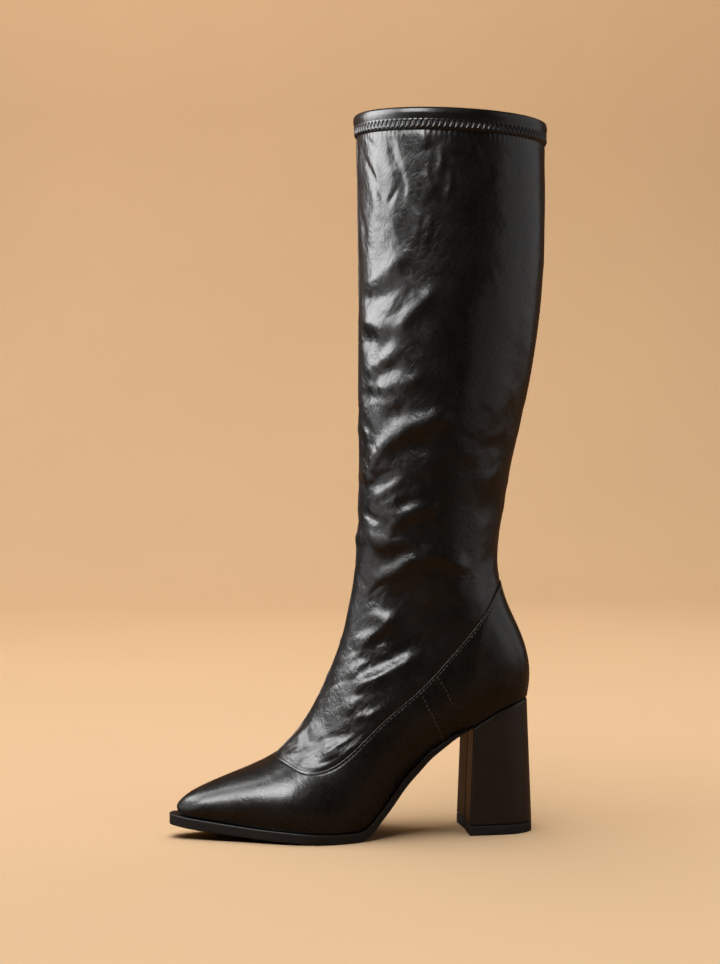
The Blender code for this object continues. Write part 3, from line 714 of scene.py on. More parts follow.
def leather(name, base, worn, finish):
    """Aniline-black leather: pores, crushed fibre lines, fine wrinkles and rubbed high spots."""
    material, tree, shader, place = new_material(
        name, Specular_IOR_Level=0.5, Coat_Weight=finish.coat, Coat_Roughness=0.16, Coat_IOR=1.45)
    soft = bent_place(tree, place, 14.0, 7.0)
    bent = bent_place(tree, soft, 3.0, 1.4)
    pores = add(tree, "ShaderNodeTexVoronoi", {"Vector": bent, "Scale": 1 / (0.6 * MM)})
    pore = ranged(tree, pores.outputs["Distance"], 0.0, 0.6)
    falling = grain_of(tree, drawn_place(tree, bent, -0.75, 5.0), 1.1, 3.0)
    rising = grain_of(tree, drawn_place(tree, bent, 0.6, 5.0), 1.3, 3.0)
    patches = grain_of(tree, place, 13.0, 1.0)
    crushed = ranged(tree, patches, 0.40, 0.60)
    calm = ranged(tree, patches, 0.62, 0.44)
    hatch = add(tree, "ShaderNodeMix", {"Factor": crushed, 2: falling, 3: rising}).outputs[0]
    cloud = grain_of(tree, place, 17.0, 3.0)
    dents = grain_of(tree, soft, 5.0, 1.0)
    large = crinkles(tree, drawn_place(tree, bent, -0.6, 2.0), 6.5, calm)
    small = crinkles(tree, drawn_place(tree, bent, 0.7, 2.2), 4.2, crushed)
    along = add(tree, "ShaderNodeSeparateXYZ", {"Vector": place}).outputs["X"]
    bumped(tree, shader, (dents, 0.24 * finish.wrinkle), (large, 0.12 * finish.wrinkle ** 2),
           (small, 0.11 * finish.wrinkle ** 2), (hatch, 0.21 * finish.crush), (pore, 0.006),
           strength=ranged(tree, along, CALM_TO, CALM_FROM, BACK_CALM, 1.0))
    shade = summed(tree, (cloud, 0.6), (hatch, 0.4))
    paint_with(tree, shader, ranged(tree, shade, 0.25, 0.85), base, worn)
    tree.links.new(ranged(tree, shade, 0.3, 0.7, finish.rough_low, finish.rough_high),
                   shader.inputs["Roughness"])
    return material


def rubber(name, base, dusty, roughness, grain_size, grain_depth):
    """Moulded rubber: fine even grain, faint mould marks and dust in it."""
    material, tree, shader, place = new_material(name, Specular_IOR_Level=0.4)
    grain = grain_of(tree, place, grain_size, 3.0)
    cloud = grain_of(tree, place, 12.0, 2.0)
    specks = grain_of(tree, place, 0.9, 1.0)
    bumped(tree, shader, (cloud, 0.08), (grain, grain_depth))
    share = ranged(tree, summed(tree, (cloud, 0.6), (specks, 0.4)), 0.35, 0.7)
    paint_with(tree, shader, share, base, dusty)
    tree.links.new(ranged(tree, grain, 0.3, 0.7, roughness - 0.07, roughness + 0.07),
                   shader.inputs["Roughness"])
    return material


def twisted_thread(name, base, sheen):
    """Waxed thread, with its twist."""
    material, tree, shader, place = new_material(name, Roughness=0.42, Sheen_Weight=sheen)
    twist = add(tree, "ShaderNodeTexWave", {
        "Vector": place, "Scale": 1 / (0.9 * MM), "Distortion": 1.5, "Detail": 1.0},
        bands_direction="DIAGONAL")
    fuzz = grain_of(tree, place, 0.3, 1.0)
    bumped(tree, shader, (twist.outputs["Fac"], 0.05), (fuzz, 0.03))
    paint_with(tree, shader, ranged(tree, fuzz, 0.35, 0.65), base, lighter(base, 1.5))
    return material


def knit(name, base, light):
    """Brushed tricot lining: fine wales and a soft nap."""
    material, tree, shader, place = new_material(
        name, Roughness=0.85, Sheen_Weight=0.3, Sheen_Roughness=0.5, Specular_IOR_Level=0.3)
    wales = add(tree, "ShaderNodeTexWave", {
        "Vector": place, "Scale": 1 / (2.4 * MM), "Distortion": 2.0, "Detail": 2.0,
        "Detail Scale": 1.5}, bands_direction="Y")
    nap = grain_of(tree, place, 0.7, 2.0)
    bumped(tree, shader, (wales.outputs["Fac"], 0.10), (nap, 0.10))
    paint_with(tree, shader, ranged(tree, nap, 0.3, 0.7), base, light)
    return material


# --- Leg part ---
LAP = 4.0               # the leg part runs on under the foot part
SEAM_SINK = 0.8         # and lies this deep there
BAND_DEPTH = 11.7       # below the leg's top edge
BAND_SINK = 0.5         # how far the band presses the leather in
GATHER = 0.11           # height of the small gathers under the band
SWELL, SWELL_SIZE = 0.9, 38.0           # the leather's own unevenness, between the folds
RIPPLE, RIPPLE_SIZE = 0.22, 14.0
FOLD_COUNT, FOLD_SEED = 760, 4
Groove = namedtuple("Groove", "depth lip lip_at lip_width")
SHIN_GROOVE = Groove(0.8, 0.14, 1.5, 0.7)
BACK_GROOVE = Groove(0.5, 0.1, 1.3, 0.6)
# Shares of a panel's width, close together beside its seams.
BY_LEG_SEAM = np.array([0, 0.002, 0.004, 0.006, 0.0085, 0.0115, 0.015, 0.02, 0.026])
PANEL_SHARES = np.concatenate([
    BY_LEG_SEAM, np.linspace(0.0307, 0.9693, 205), 1 - BY_LEG_SEAM[::-1]])
FRONT_ROWS = 150
SHAFT_ROWS = 235


def top_edge_at(along):
    """Height of the leg's top edge, which falls toward the back."""
    ridge_along, ridge_high, back_along, back_high = LEG[-1, :4]
    share = (along - back_along) / (ridge_along - back_along)
    return back_high + (ridge_high - back_high) * share


def groove(sewn, away):
    """The valley of a closed seam and the low lip on each side, at a distance from its middle."""
    lip = sewn.lip * np.exp(-((away - sewn.lip_at) / sewn.lip_width) ** 2)
    return lip - sewn.depth * np.exp(-(away / GROOVE_HALF) ** 2)


def leg_folds(part, sizes):
    """The leg's own folds, without the small ones."""
    placed = LEG_CREASES + other_side(LEG_CREASES)
    return sizes.fold_depth * pressed(part.around, part.points[..., 2], placed)


def leg_relief(part, sizes):
    """How far the leg's leather stands off the last."""
    points, around = part.points, part.around
    high, shin = points[..., 2], np.abs(part.around)
    under_band = top_edge_at(points[..., 0]) - BAND_DEPTH - high
    swell = noise_at(points * np.array([1.0, 1.0, 0.8]), SWELL_SIZE, 1)
    ripple = noise_at(points, RIPPLE_SIZE, 2)
    crushed = sizes.crush_depth * pressed(around, high, small_folds(FOLD_COUNT, FOLD_SEED))
    relief = leg_folds(part, sizes) + crushed + SWELL * swell + RIPPLE * ripple
    relief *= smooth(-2.0, 8.0, under_band)
    relief -= BAND_SINK * (1 - smooth(-1.0, 4.0, under_band))
    gathered = 1 - smooth(-1.0, 9.0 + 4.0 * swell, under_band)
    turn = 2 * np.pi * around / (sizes.zigzag_pitch / MM)
    relief += GATHER * gathered * np.cos(turn + 2.0 * ripple)
    over = above_seam(points)
    relief = relief * smooth(-3.0, 6.0, over) - SEAM_SINK * (1 - smooth(-1.0, 3.5, over))
    return relief + groove(SHIN_GROOVE, shin) + groove(BACK_GROOVE, part.end - shin)


def leg_points(last, rows, shares, sizes):
    part = patch(last, rows, shares)
    return part.points + part.normals * leg_relief(part, sizes)[..., None]


def build_leg(last, sizes, material):
    """Two panels, sewn along the shin and the back, from under the foot part to the collar."""
    inner, outer, (peak, back) = seam_shares(last.points, -LAP)
    rows = np.concatenate([
        even_rows(last, peak, back, FRONT_ROWS, 1.7),
        even_rows(last, back, len(last.points) - 1.0, SHAFT_ROWS)[1:]])
    for name, side, share, node in (("leg_panel_outer", 1, outer, "shaft_outer"),
                                    ("leg_panel_inner", -1, inner, "shaft_inner")):
        share = np.where(rows < back, np.interp(rows, np.arange(len(share)), share), 1.0)
        share[0] = 0.0
        grid = leg_points(last, rows[:, None], side * share[:, None] * PANEL_SHARES, sizes)
        settle(grids_object(name, [grid], material, flip=side > 0), "stretch_leather", node)


# --- Foot part ---
TOE_ROWS = 110
WING_ROWS = 170
COUNTER_ROWS = 50
# Shares of the way down from the ridge or the seam, close together beside the seam.
FOOT_SHARES = np.array([0, 0.004, 0.008, 0.012, 0.016, 0.02, 0.024, 0.029, 0.036,
                        *np.linspace(0.044, 1, 104)])
# Edges, as steps inward and down: the rolled one at the seam and the tucked one at the sole.
ROLL = [(0.0, 0.0), (0.07, 0.04), (0.12, 0.12), (0.14, 0.3), (0.12, 0.8), (0.05, 1.2)]
TUCK = [(0.0, 0.0), (0.15, 0.16), (0.5, 0.3), (2.6, 0.35)]
FOOT_SWELL, FOOT_SWELL_SIZE = 0.14, 18.0
FOOT_RIPPLE, FOOT_RIPPLE_SIZE = 0.03, 6.0
STITCH_BELOW = 1.5      # the seam's stitches, below the foot part's edge
STITCH_GROOVE, GROOVE_HALF = 0.16, 0.5  # depth and half width of the line they pull down
QUARTER_STEP = 0.16     # the quarter lies this much proud of the vamp, behind the lap line
LAP_LINE = [(78.9, 93.7), (74.1, 83.6), (69.0, 73.9), (62.5, 60.8)]
STITCH_LINE = [(66.7, 102.1), (60.9, 93.5), (56.7, 83.4)]


def foot_relief(part, sizes):
    """How far the foot part's leather stands off the last."""
    points = part.points
    over = above_seam(points)
    swell = noise_at(points, FOOT_SWELL_SIZE, 5)
    ripple = noise_at(points, FOOT_RIPPLE_SIZE, 6)
    relief = sizes.fold_depth * pressed(points[..., 0], part.around, FOOT_CREASES)
    relief += FOOT_SWELL * swell + FOOT_RIPPLE * ripple
    relief *= 1 - smooth(-8.0, -0.5, over)
    relief -= STITCH_GROOVE * np.exp(-((over + STITCH_BELOW) / GROOVE_HALF) ** 2)
    flat = points[..., [0, 2]]
    gap, _ = nearest_on_line(flat, np.array(LAP_LINE))
    along, high = LAP_LINE[-1]
    ahead = (flat[..., 0] - along) - (flat[..., 1] - high) * 0.5
    lap = QUARTER_STEP * (1 - smooth(-0.7, 0.5, ahead)) * np.exp(-(gap / 4.0) ** 2)
    return relief + np.where(points[..., 1] > 0, lap, 0.0)


def foot_points(last, rows, shares, sizes):
    part = patch(last, rows, shares)
    return part.points + part.normals * foot_relief(part, sizes)[..., None], part.normals


def build_foot(last, sizes, material):
    """The foot part: whole sections to the seam's peak, a wing each side, rolled and tucked."""
    inner, outer, (peak, back) = seam_shares(last.points, 0.0)
    toe = np.linspace(0, 1, TOE_ROWS + 1) * peak
    wing = even_rows(last, peak, float(last.closed), WING_ROWS, 1.7)
    counter = last.closed + (back - last.closed) * (1 - np.linspace(1, 0, COUNTER_ROWS + 1) ** 1.6)
    wing = np.concatenate([wing, counter[1:]])
    edges, lines = [], []
    toe_columns = np.concatenate([-FOOT_SHARES[::-1], FOOT_SHARES[1:]])
    toe_grid, toe_normals = foot_points(last, toe[:, None], toe_columns[None, :], sizes)
    grids = [toe_grid]
    for side, share in ((-1, inner), (1, outer)):
        share = np.interp(wing, np.arange(len(share)), share)
        share[0], share[-1] = 0.0, 1.0
        columns = side * (share[:, None] + (1 - share[:, None]) * FOOT_SHARES)
        grid, normals = foot_points(last, wing[:, None], columns, sizes)
        grids.append(grid[:, ::-1] if side < 0 else grid)
        edges.append((grid[:, 0], normals[:, 0]))
        lines.append((grid[:WING_ROWS + 1, -1], normals[:WING_ROWS + 1, -1]))
    seam = [np.concatenate([edges[0][k][::-1], edges[1][k][1:]]) for k in (0, 1)]
    inward = unit(np.cross(np.gradient(seam[0], axis=0), seam[1]))
    if inward[len(inward) // 2, 2] < 0:
        inward = -inward
    grids.append(np.stack([seam[0] + inward * up - seam[1] * sink for up, sink in ROLL]))
    toe_part = toe_grid, toe_normals
    feather = [np.concatenate([
        lines[0][k][::-1], toe_part[k][::-1, 0][1:], toe_part[k][0][1:], toe_part[k][1:, -1],
        lines[1][k][1:]]) for k in (0, 1)]
    outward = unit(feather[1] * np.array([1.0, 1.0, 0.0]))
    grids.append(np.stack([
        feather[0] - outward * inset - np.array([0.0, 0.0, drop]) for inset, drop in TUCK]))
    piece = grids_object("foot_part", grids, material, weld=0.003, outward=True)
    settle(piece, "smooth_leather", "upper")


# --- Lining and collar band ---
LINING_INSIDE = 1.9     # from the last's surface
LINING_SWELL, LINING_SWELL_SIZE = 0.4, 26.0
OVER_SOLE = 2.4         # height of the lining's lowest part over the sole
LINING_FROM = 10        # its first section, counted from the toe
LINING_FOOT_ROWS, LINING_LEG_ROWS, LINING_COLUMNS = 110, 150, 145


def build_lining(last, sizes, material):
    """The lining: one tube inside foot and leg, following the coarse folds."""
    rows = np.concatenate([
        np.linspace(LINING_FROM, last.closed, LINING_FOOT_ROWS)[:-1],
        np.linspace(last.closed, len(last.points) - 1, LINING_LEG_ROWS)])
    part = patch(last, rows[:, None], np.linspace(-1, 1, LINING_COLUMNS)[None, :])
    over = smooth(0.0, 12.0, above_seam(part.points))
    below = smooth(0.0, 10.0, top_edge_at(part.points[..., 0]) - part.points[..., 2] - BAND_DEPTH)
    share = over * below
    swell = LINING_SWELL * noise_at(part.points, LINING_SWELL_SIZE, 1)
    relief = (leg_folds(part, sizes) + swell) * share - LINING_INSIDE
    grid = part.points + part.normals * relief[..., None]
    lowest = np.maximum(sole_top(np.clip(grid[..., 0], HEEL_BACK, SOLE_TIP)) + OVER_SOLE, 0)
    in_foot = rows < last.closed
    grid[in_foot, :, 2] = np.maximum(grid[in_foot, :, 2], lowest[in_foot])
    settle(grids_object("lining", [grid], material), "insole_sock")


RING_STEPS = 1200       # round the leg's top edge, before it is divided evenly


def collar_frame(last, count):
    """Places round the leg's top edge: points, outward and downward directions, distance round."""
    shares = np.linspace(-1, 1, RING_STEPS + 1)[None, :]
    top, lower = (sample(last.points, np.array([[len(last.points) - above]]), shares)[0]
                  for above in (1.0, 6.0))
    way = chord(top)
    at = np.linspace(0, way[-1], count + 1)
    ring, lower = (np.column_stack([np.interp(at, way, line[:, k]) for k in range(3)])
                   for line in (top, lower))
    tangent = np.roll(ring[:-1], -1, axis=0) - np.roll(ring[:-1], 1, axis=0)
    outward = unit(np.column_stack([tangent[:, 1], -tangent[:, 0], np.zeros(len(tangent))]))
    outward = np.concatenate([outward, outward[:1]])
    if (outward[count // 2] * (ring[count // 2] - ring.mean(0))).sum() < 0:
        outward = -outward
    return ring, outward, unit(lower - ring), at


ZIGZAG_TOP, ZIGZAG_FOOT = 6.2, 10.0     # the zigzag's ends, below the leg's top edge
BAND_PROFILE = [                         # outward and down from that edge, outside leaf only
    (0.05, 12.0), (0.42, 11.7), (0.80, 11.1), (1.02, 10.4), (1.05, 9.4), (0.98, 8.0), (1.02, 6.6),
    (1.32, 4.8), (1.62, 2.8), (1.68, 1.4), (1.55, 0.6),
]


def band_stand(deep):
    """How far the band's face stands out at depths below the edge."""
    knots = np.array(BAND_PROFILE)[::-1]
    return np.interp(deep, knots[:, 1], knots[:, 0])


BAND_STEPS = 46         # points over the band's outside leaf
BAND_COLUMNS = 1240     # and round it
# The band's face: swollen between the threads, pulled in under them, uneven, and scalloped.
SWOLLEN, PULLED, UNEVEN, SCALLOPED = 0.32, 0.3, 0.16, 0.12
THREAD_GROOVE = 0.4     # half width of the pulled-in line
FOLD_FROM = 0.5         # above this depth the band turns straight up


def band_line():
    """The band's section, out and down from the leg's top edge, lower rim to inside."""
    knots = np.array(BAND_PROFILE)
    way = chord(knots)
    outside = spline(way, knots, np.linspace(0, way[-1], BAND_STEPS))
    turn = np.linspace(0, np.pi, 15)[1:]
    fold = np.column_stack([-0.6 + 2.1 * np.cos(turn), 0.1 - 1.9 * np.sin(turn)])
    inside = np.column_stack([np.linspace(-2.72, -2.5, 10), np.linspace(1.0, 11.6, 10)])
    return np.concatenate([outside, fold, inside, [(-2.1, 12.0)]])


def build_band(last, sizes, material):
    """The folded band, its lower rim puckered by the zigzag stitching."""
    pitch = sizes.zigzag_pitch / MM
    ring, outward, down, at = collar_frame(last, BAND_COLUMNS)
    section = band_line()
    out, deep = section[:, 0][:, None], section[:, 1][:, None]
    zigzags = at / at[-1] * round(at[-1] / pitch)
    tall = ZIGZAG_FOOT - ZIGZAG_TOP
    thread_at = ZIGZAG_TOP + tall * np.abs(2 * (zigzags % 1.0) - 1)
    gap = np.abs(deep - thread_at) / np.hypot(1, 2 * tall / pitch)
    zone = smooth(ZIGZAG_TOP - 1.0, ZIGZAG_TOP, deep)
    zone = zone * (1 - smooth(ZIGZAG_FOOT, ZIGZAG_FOOT + 1, deep))
    pulled = np.exp(-(gap / THREAD_GROOVE) ** 2)
    places = np.stack(np.broadcast_arrays(deep * 0.6, at[None, :], 0.0 * out), axis=-1)
    lift = zone * (SWOLLEN * (1 - pulled) - PULLED * pulled) + UNEVEN * noise_at(places, 14.0, 9)
    scallop = np.cos(2 * np.pi * zigzags)
    lift += SCALLOPED * scallop * smooth(ZIGZAG_FOOT - 0.5, ZIGZAG_FOOT + 1.0, deep)
    lift[BAND_STEPS:] = 0.0
    lift[:, -1] = lift[:, 0]
    upright = np.broadcast_to(np.array([0.0, 0.0, -1.0]), down.shape)
    ways = np.where((deep < FOLD_FROM)[..., None], upright[None], down[None])
    grid = ring[None] + outward[None] * (out + lift)[..., None] + ways * deep[..., None]
    piece = grids_object("collar_fold", [grid], material, outward=True)
    settle(piece, "band_leather", "collar_band")


# --- Stitching ---
# Steps along the lines that stitches follow, before they are divided evenly.
SEAM_STEPS, SIDE_STEPS, SHIN_STEPS, COLLAR_STEPS = 1500, 60, 3000, 2400
RIM_POINTS = 10         # round the dark dish of a needle hole's painted shade
THREAD_POINTS, THREAD_SIDES = 8, 6      # along one length of thread and round it
Thread = namedtuple("Thread", "radius arch")
SEAM_THREAD, QUARTER_THREAD = Thread(0.2, 0.22), Thread(0.2, 0.2)
SHIN_THREAD, ZIGZAG_THREAD = Thread(0.22, 0.1), Thread(0.4, 0.12)
SEAM_HOLE_SHADE, COLLAR_HOLE_SHADE = (0.7, 0.5), (1.2, 1.0)         # length and width of the dark dishes of painted hole shade


def repeated(faces, count, size):
    """The faces of one small mesh of the given size, for a row of them."""
    shift = np.arange(count)[:, None, None] * size
    return (np.array(faces)[None] + shift).reshape(-1, len(faces[0]))


def thread_object(name, starts, ends, normals, size, material):
    """Short rounded lengths of thread, each diving into the leather at both ends."""
    share = np.linspace(0, 1, THREAD_POINTS)
    swell = size.radius * np.clip(np.sin(np.pi * (0.04 + 0.92 * share)), 0, 1) ** 0.35
    lift = size.arch * np.sin(np.pi * share) ** 0.5 - 0.6 * size.radius
    run = unit(ends - starts)
    up = unit(normals - (normals * run).sum(1, keepdims=True) * run)
    aside = np.cross(run, up)
    sides = THREAD_SIDES
    angle = np.linspace(0, 2 * np.pi, sides, endpoint=False)
    middle = (starts[:, None] * (1 - share[:, None]) + ends[:, None] * share[:, None]
              + up[:, None] * lift[:, None])
    turn = (aside[:, None, None] * np.cos(angle)[:, None]
            + up[:, None, None] * np.sin(angle)[:, None])
    points = middle[:, :, None] + turn * swell[:, None, None]
    base = [(i * sides + j, i * sides + (j + 1) % sides,
             (i + 1) * sides + (j + 1) % sides, (i + 1) * sides + j)
            for i in range(len(share) - 1) for j in range(sides)]
    return new_object(name, points, repeated(base, len(starts), len(share) * sides), material,
                      outward=True)


def hole_shade_object(name, places, normals, runs, long, wide, material):
    """Painted shade of needle holes: small dark dishes lying on the leather, in place of the shade
    inside each hole.
    """
    up = unit(normals)
    run = unit(runs - (runs * up).sum(1, keepdims=True) * up)
    aside = np.cross(up, run)
    angle = np.linspace(0, 2 * np.pi, RIM_POINTS, endpoint=False)
    rim = (run[:, None] * (0.5 * long * np.cos(angle))[:, None]
           + aside[:, None] * (0.5 * wide * np.sin(angle))[:, None])
    points = np.concatenate([(places + 0.02 * up)[:, None],
                             places[:, None] + rim + 0.06 * up[:, None]], axis=1)
    base = [(0, 1 + j, 1 + (j + 1) % RIM_POINTS) for j in range(RIM_POINTS)]
    return new_object(name, points, repeated(base, len(places), RIM_POINTS + 1), material)


def seam_places(last, beyond, pitch):
    """Rows and shares of places a pitch apart along the seam, moved up by beyond."""
    inner, outer, (peak, back) = seam_shares(last.points, beyond)
    rows = peak + (back - peak) * np.linspace(0, 1, SEAM_STEPS) ** 2
    lines = []
    for side, share in ((-1, inner), (1, outer)):
        at = side * np.interp(rows, np.arange(len(share)), share)
        at[0], at[-1] = 0.0, side
        lines.append(at)
    rows = np.concatenate([rows[::-1], rows[1:]])
    shares = np.concatenate([lines[0][::-1], lines[1][1:]])
    way = chord(sample(last.points, rows, shares))
    at = np.arange(0.5 * pitch, way[-1], pitch)
    return np.interp(at, way, rows), np.interp(at, way, shares)


def side_places(last, line, pitch):
    """Rows and shares of places a pitch apart along a line seen from the outer side."""
    knots = np.array(line, float)
    way = chord(knots)
    steps = np.linspace(0, way[-1], SIDE_STEPS)
    side = last.points[:, FINE_COLUMNS:]
    rows, shares = [], []
    for along, high in spline(way, knots, steps):
        gap = (side[..., 0] - along) ** 2 + (side[..., 2] - high) ** 2
        i, j = np.unravel_index(gap.argmin(), gap.shape)
        rows.append(i)
        shares.append(j / FINE_COLUMNS)
    rows = np.polyval(np.polyfit(steps, rows, 3), steps)
    shares = np.polyval(np.polyfit(steps, shares, 3), steps)
    way = chord(sample(last.points, rows, shares))
    at = np.arange(0.3 * pitch, way[-1], pitch)
    return np.interp(at, way, rows), np.interp(at, way, shares)


STITCH_PARTS = 8        # places worked out for each stitch, of which the thread spans five
SHIN_PITCH = 3.1
SHIN_FROM, SHIN_SHORT = 2.0, 10.0       # up from the seam, and short of the leg's top edge
SHIN_ASIDE = 0.0075     # the shin's threads dive in at this share of a panel's width
BEHIND_LAP = 1.3        # the quarter's stitches, behind the lap line
COLLAR_HOLE_SHADE_SHIFT = 0.25        # the dishes of painted hole shade lie just past the zigzag's corners


def stitch_row(name, points, normals, size, thread):
    """Running stitches over places that stand a part of a stitch apart."""
    starts, ends = points[:-STITCH_PARTS:STITCH_PARTS], points[5:-3:STITCH_PARTS]
    count = min(len(starts), len(ends))
    up = normals[:-STITCH_PARTS:STITCH_PARTS]
    return thread_object(name, starts[:count], ends[:count], up[:count], size, thread)


def build_stitching(last, sizes, thread, dark_thread, hole_shade):
    """The threads of seam, quarter, shin and collar, and the painted shade of needle holes."""
    part_pitch = sizes.stitch_pitch / MM / STITCH_PARTS
    points, normals = foot_points(last, *seam_places(last, -STITCH_BELOW, part_pitch), sizes)
    between_stitches = slice(6, -1, STITCH_PARTS)
    runs = np.gradient(points, axis=0)[between_stitches]
    # The seam's needle holes are dark dishes of painted shade.
    pieces = [stitch_row("seam_stitches", points, normals, SEAM_THREAD, thread),
              hole_shade_object("seam_hole_shades", points[between_stitches], normals[between_stitches], runs,
                          *SEAM_HOLE_SHADE, hole_shade)]
    behind_lap = [(along - BEHIND_LAP, high) for along, high in LAP_LINE]
    for name, line in (("quarter_stitches", behind_lap), ("shank_stitches", STITCH_LINE)):
        points, normals = foot_points(last, *side_places(last, line, part_pitch), sizes)
        pieces.append(stitch_row(name, points, normals, QUARTER_THREAD, thread))
    peak = seam_shares(last.points, 1.0)[2][0]
    rows = np.linspace(peak, len(last.points) - 1.0, SHIN_STEPS)
    way = chord(sample(last.points, rows, 0.0))
    rows = np.interp(np.arange(SHIN_FROM, way[-1] - SHIN_SHORT, SHIN_PITCH), way, rows)
    starts, ends = (leg_points(last, rows, side * SHIN_ASIDE, sizes) for side in (-1, 1))
    normals = patch(last, rows, 0.0).normals
    pieces.append(thread_object("shin_stitches", starts, ends, normals, SHIN_THREAD, dark_thread))
    ring, outward, down, at = collar_frame(last, COLLAR_STEPS)
    count = round(at[-1] / (sizes.zigzag_pitch / MM))
    corners = np.arange(2 * count + 1) / (2 * count) * at[-1]
    is_foot = np.arange(len(corners)) % 2 == 0
    deep = np.where(is_foot, ZIGZAG_FOOT, ZIGZAG_TOP)
    ring, outward, down = (np.column_stack([np.interp(corners, at, line[:, k]) for k in range(3)])
                           for line in (ring, outward, down))
    spots = ring + outward * (band_stand(deep) - 0.2)[:, None] + down * deep[:, None]
    pieces.append(thread_object("collar_zigzag", spots[:-1], spots[1:], outward[:-1],
                                ZIGZAG_THREAD, dark_thread))
    # The collar's needle holes are dark dishes of painted shade.
    past = np.where(is_foot, COLLAR_HOLE_SHADE_SHIFT, -COLLAR_HOLE_SHADE_SHIFT)
    hole_shades = spots + outward * 0.1 + down * past[:, None]
    pieces.append(hole_shade_object("collar_hole_shades", hole_shades, outward, down, *COLLAR_HOLE_SHADE, hole_shade))
    for piece in pieces:
        settle(piece, "band_leather" if piece.name.startswith("collar") else "smooth_leather")


# --- Sole, insole, heel and lift ---
PLATE_STRIPS = 20       # across a plate's top and bottom
SOLE_RIM, SOCK_RIM = 0.55, 0.5          # radius of the rounded rims
SOCK_INSET, SOCK_TIP_INSET = 2.9, 7.5
SOCK_BOTTOM, SOCK_TOP = 0.3, 2.3        # over the sole


def ring_of(edge):
    """A closed line round an outline: along and y, with the toe's slant."""
    outer = np.column_stack([edge[:, 0] + swing(edge[:, 0], edge[:, 1]), edge[:, 1], edge[:, 0]])
    inner = np.column_stack([edge[:, 0] + swing(edge[:, 0], edge[:, 2]), edge[:, 2], edge[:, 0]])
    return np.concatenate([outer, inner[::-1][1:]])


def plate(name, edge_of, top_of, bottom_of, bevel, material):
    """A plate over an outline, with rounded rims."""
    def wall_row(turn, share):
        """A line round the wall, at a share of its straight height, or turned in over a rim."""
        line = ring_of(edge_of(bevel * (1 - np.cos(turn))))
        top, bottom = top_of(line[:, 2]), bottom_of(line[:, 2])
        rim = np.minimum(bevel, 0.4 * (top - bottom))
        high = bottom + rim + (top - bottom - 2 * rim) * share
        return np.column_stack([line[:, :2], high + (2 * share - 1) * rim * np.sin(turn)])

    turns = np.linspace(np.pi / 2, 0, 5)
    wall = [wall_row(turn, 1.0) for turn in turns]
    wall += [wall_row(0.0, share) for share in np.linspace(1, 0, 7)[1:-1]]
    wall += [wall_row(turn, 0.0) for turn in turns[::-1]]
    grids = [np.stack(wall)]
    edge = edge_of(bevel)
    for height_of in (top_of, bottom_of):
        cap = np.empty((len(edge), PLATE_STRIPS + 1, 3))
        for j, share in enumerate(np.linspace(0, 1, PLATE_STRIPS + 1)):
            y = edge[:, 2] + (edge[:, 1] - edge[:, 2]) * share
            cap[:, j] = np.column_stack([
                edge[:, 0] + swing(edge[:, 0], y), y, height_of(edge[:, 0])])
        grids.append(cap)
    return grids_object(name, grids, material, weld=0.004, outward=True)


def build_sole(material):
    def edge_of(inset):
        return outline(ledge=1.0, inset=inset, back=HEEL_BACK + SEAT_INSET + inset,
                       tip=SOLE_TIP - inset, tip_arc=SOLE_TOE_ARC)
    settle(plate("sole", edge_of, sole_top, sole_bottom, SOLE_RIM, material),
           "sole_rubber", "outsole")


def build_insole(material):
    def edge_of(inset):
        return outline(inset=SOCK_INSET + inset, back=HEEL_BACK + SOCK_INSET + inset,
                       tip=TOE_TIP - SOCK_TIP_INSET - inset)
    settle(plate("sock", edge_of, lambda along: sole_top(along) + SOCK_TOP,
                 lambda along: sole_top(along) + SOCK_BOTTOM, SOCK_RIM, material),
           "insole_sock", "insole")


BUTT_DEPTH, BUTT_LIP = 0.8, 0.16        # the cover's butt seam down the breast
HEEL_CORNER, LIFT_CORNER = 1.4, 0.9
SOLE_GAP = 0.3          # over and under the block
HEEL_RIM = [(1.1, 0.0), (0.5, 0.03), (0.18, 0.2), (0.0, 0.55)]
LIFT_WALL = [(1.2, 0.0), (0.35, 0.02), (0.1, 0.16), (0.0, 0.45), (0.0, 2.2), (0.0, 4.2),
             (0.0, 5.6), (0.08, 5.9), (0.3, 6.12), (0.9, LIFT_THICK)]


def heel_ring(back, breast, widen, corner, butt_seam):
    """A closed D in plan: round back, rounded corners, hollow breast with its butt seam."""
    edge = outline(run_steps=300)
    seat = edge[edge[:, 0] <= SEAT_FRONT]
    share = (seat[:, 0] - seat[0, 0]) / (SEAT_FRONT - seat[0, 0])
    along = back + share * (breast - back)
    keep = along < breast - corner
    sides = []
    for column, sign in ((1, 1), (2, -1)):
        y = seat[:, column] + sign * widen
        turn = np.linspace(0, 1, 9)[:, None]
        start = np.array([breast - corner, np.interp(breast - corner, along, y)])
        middle, end = np.array([breast, y[-1]]), np.array([breast, y[-1] - sign * corner])
        arc = (1 - turn) ** 2 * start + 2 * turn * (1 - turn) * middle + turn ** 2 * end
        sides.append(np.concatenate([np.column_stack([along[keep], y[keep]]), arc]))
    left, right = sides[0][-1, 1], sides[1][-1, 1]
    span = np.linspace(-1, 1, 81)
    across = -np.sign(span) * np.abs(span) ** 1.8 * (left - right) / 2
    hollow = BREAST_HOLLOW * (1 - np.abs(across) / (0.5 * abs(left - right)))
    if butt_seam:
        hollow += BUTT_DEPTH * np.exp(-(across / 0.42) ** 2)
        hollow -= BUTT_LIP * np.exp(-((np.abs(across) - 1.1) / 0.5) ** 2)
    front = np.column_stack([breast - hollow, (left + right) / 2 + across])
    return np.concatenate([sides[0], front[1:-1], sides[1][::-1]])


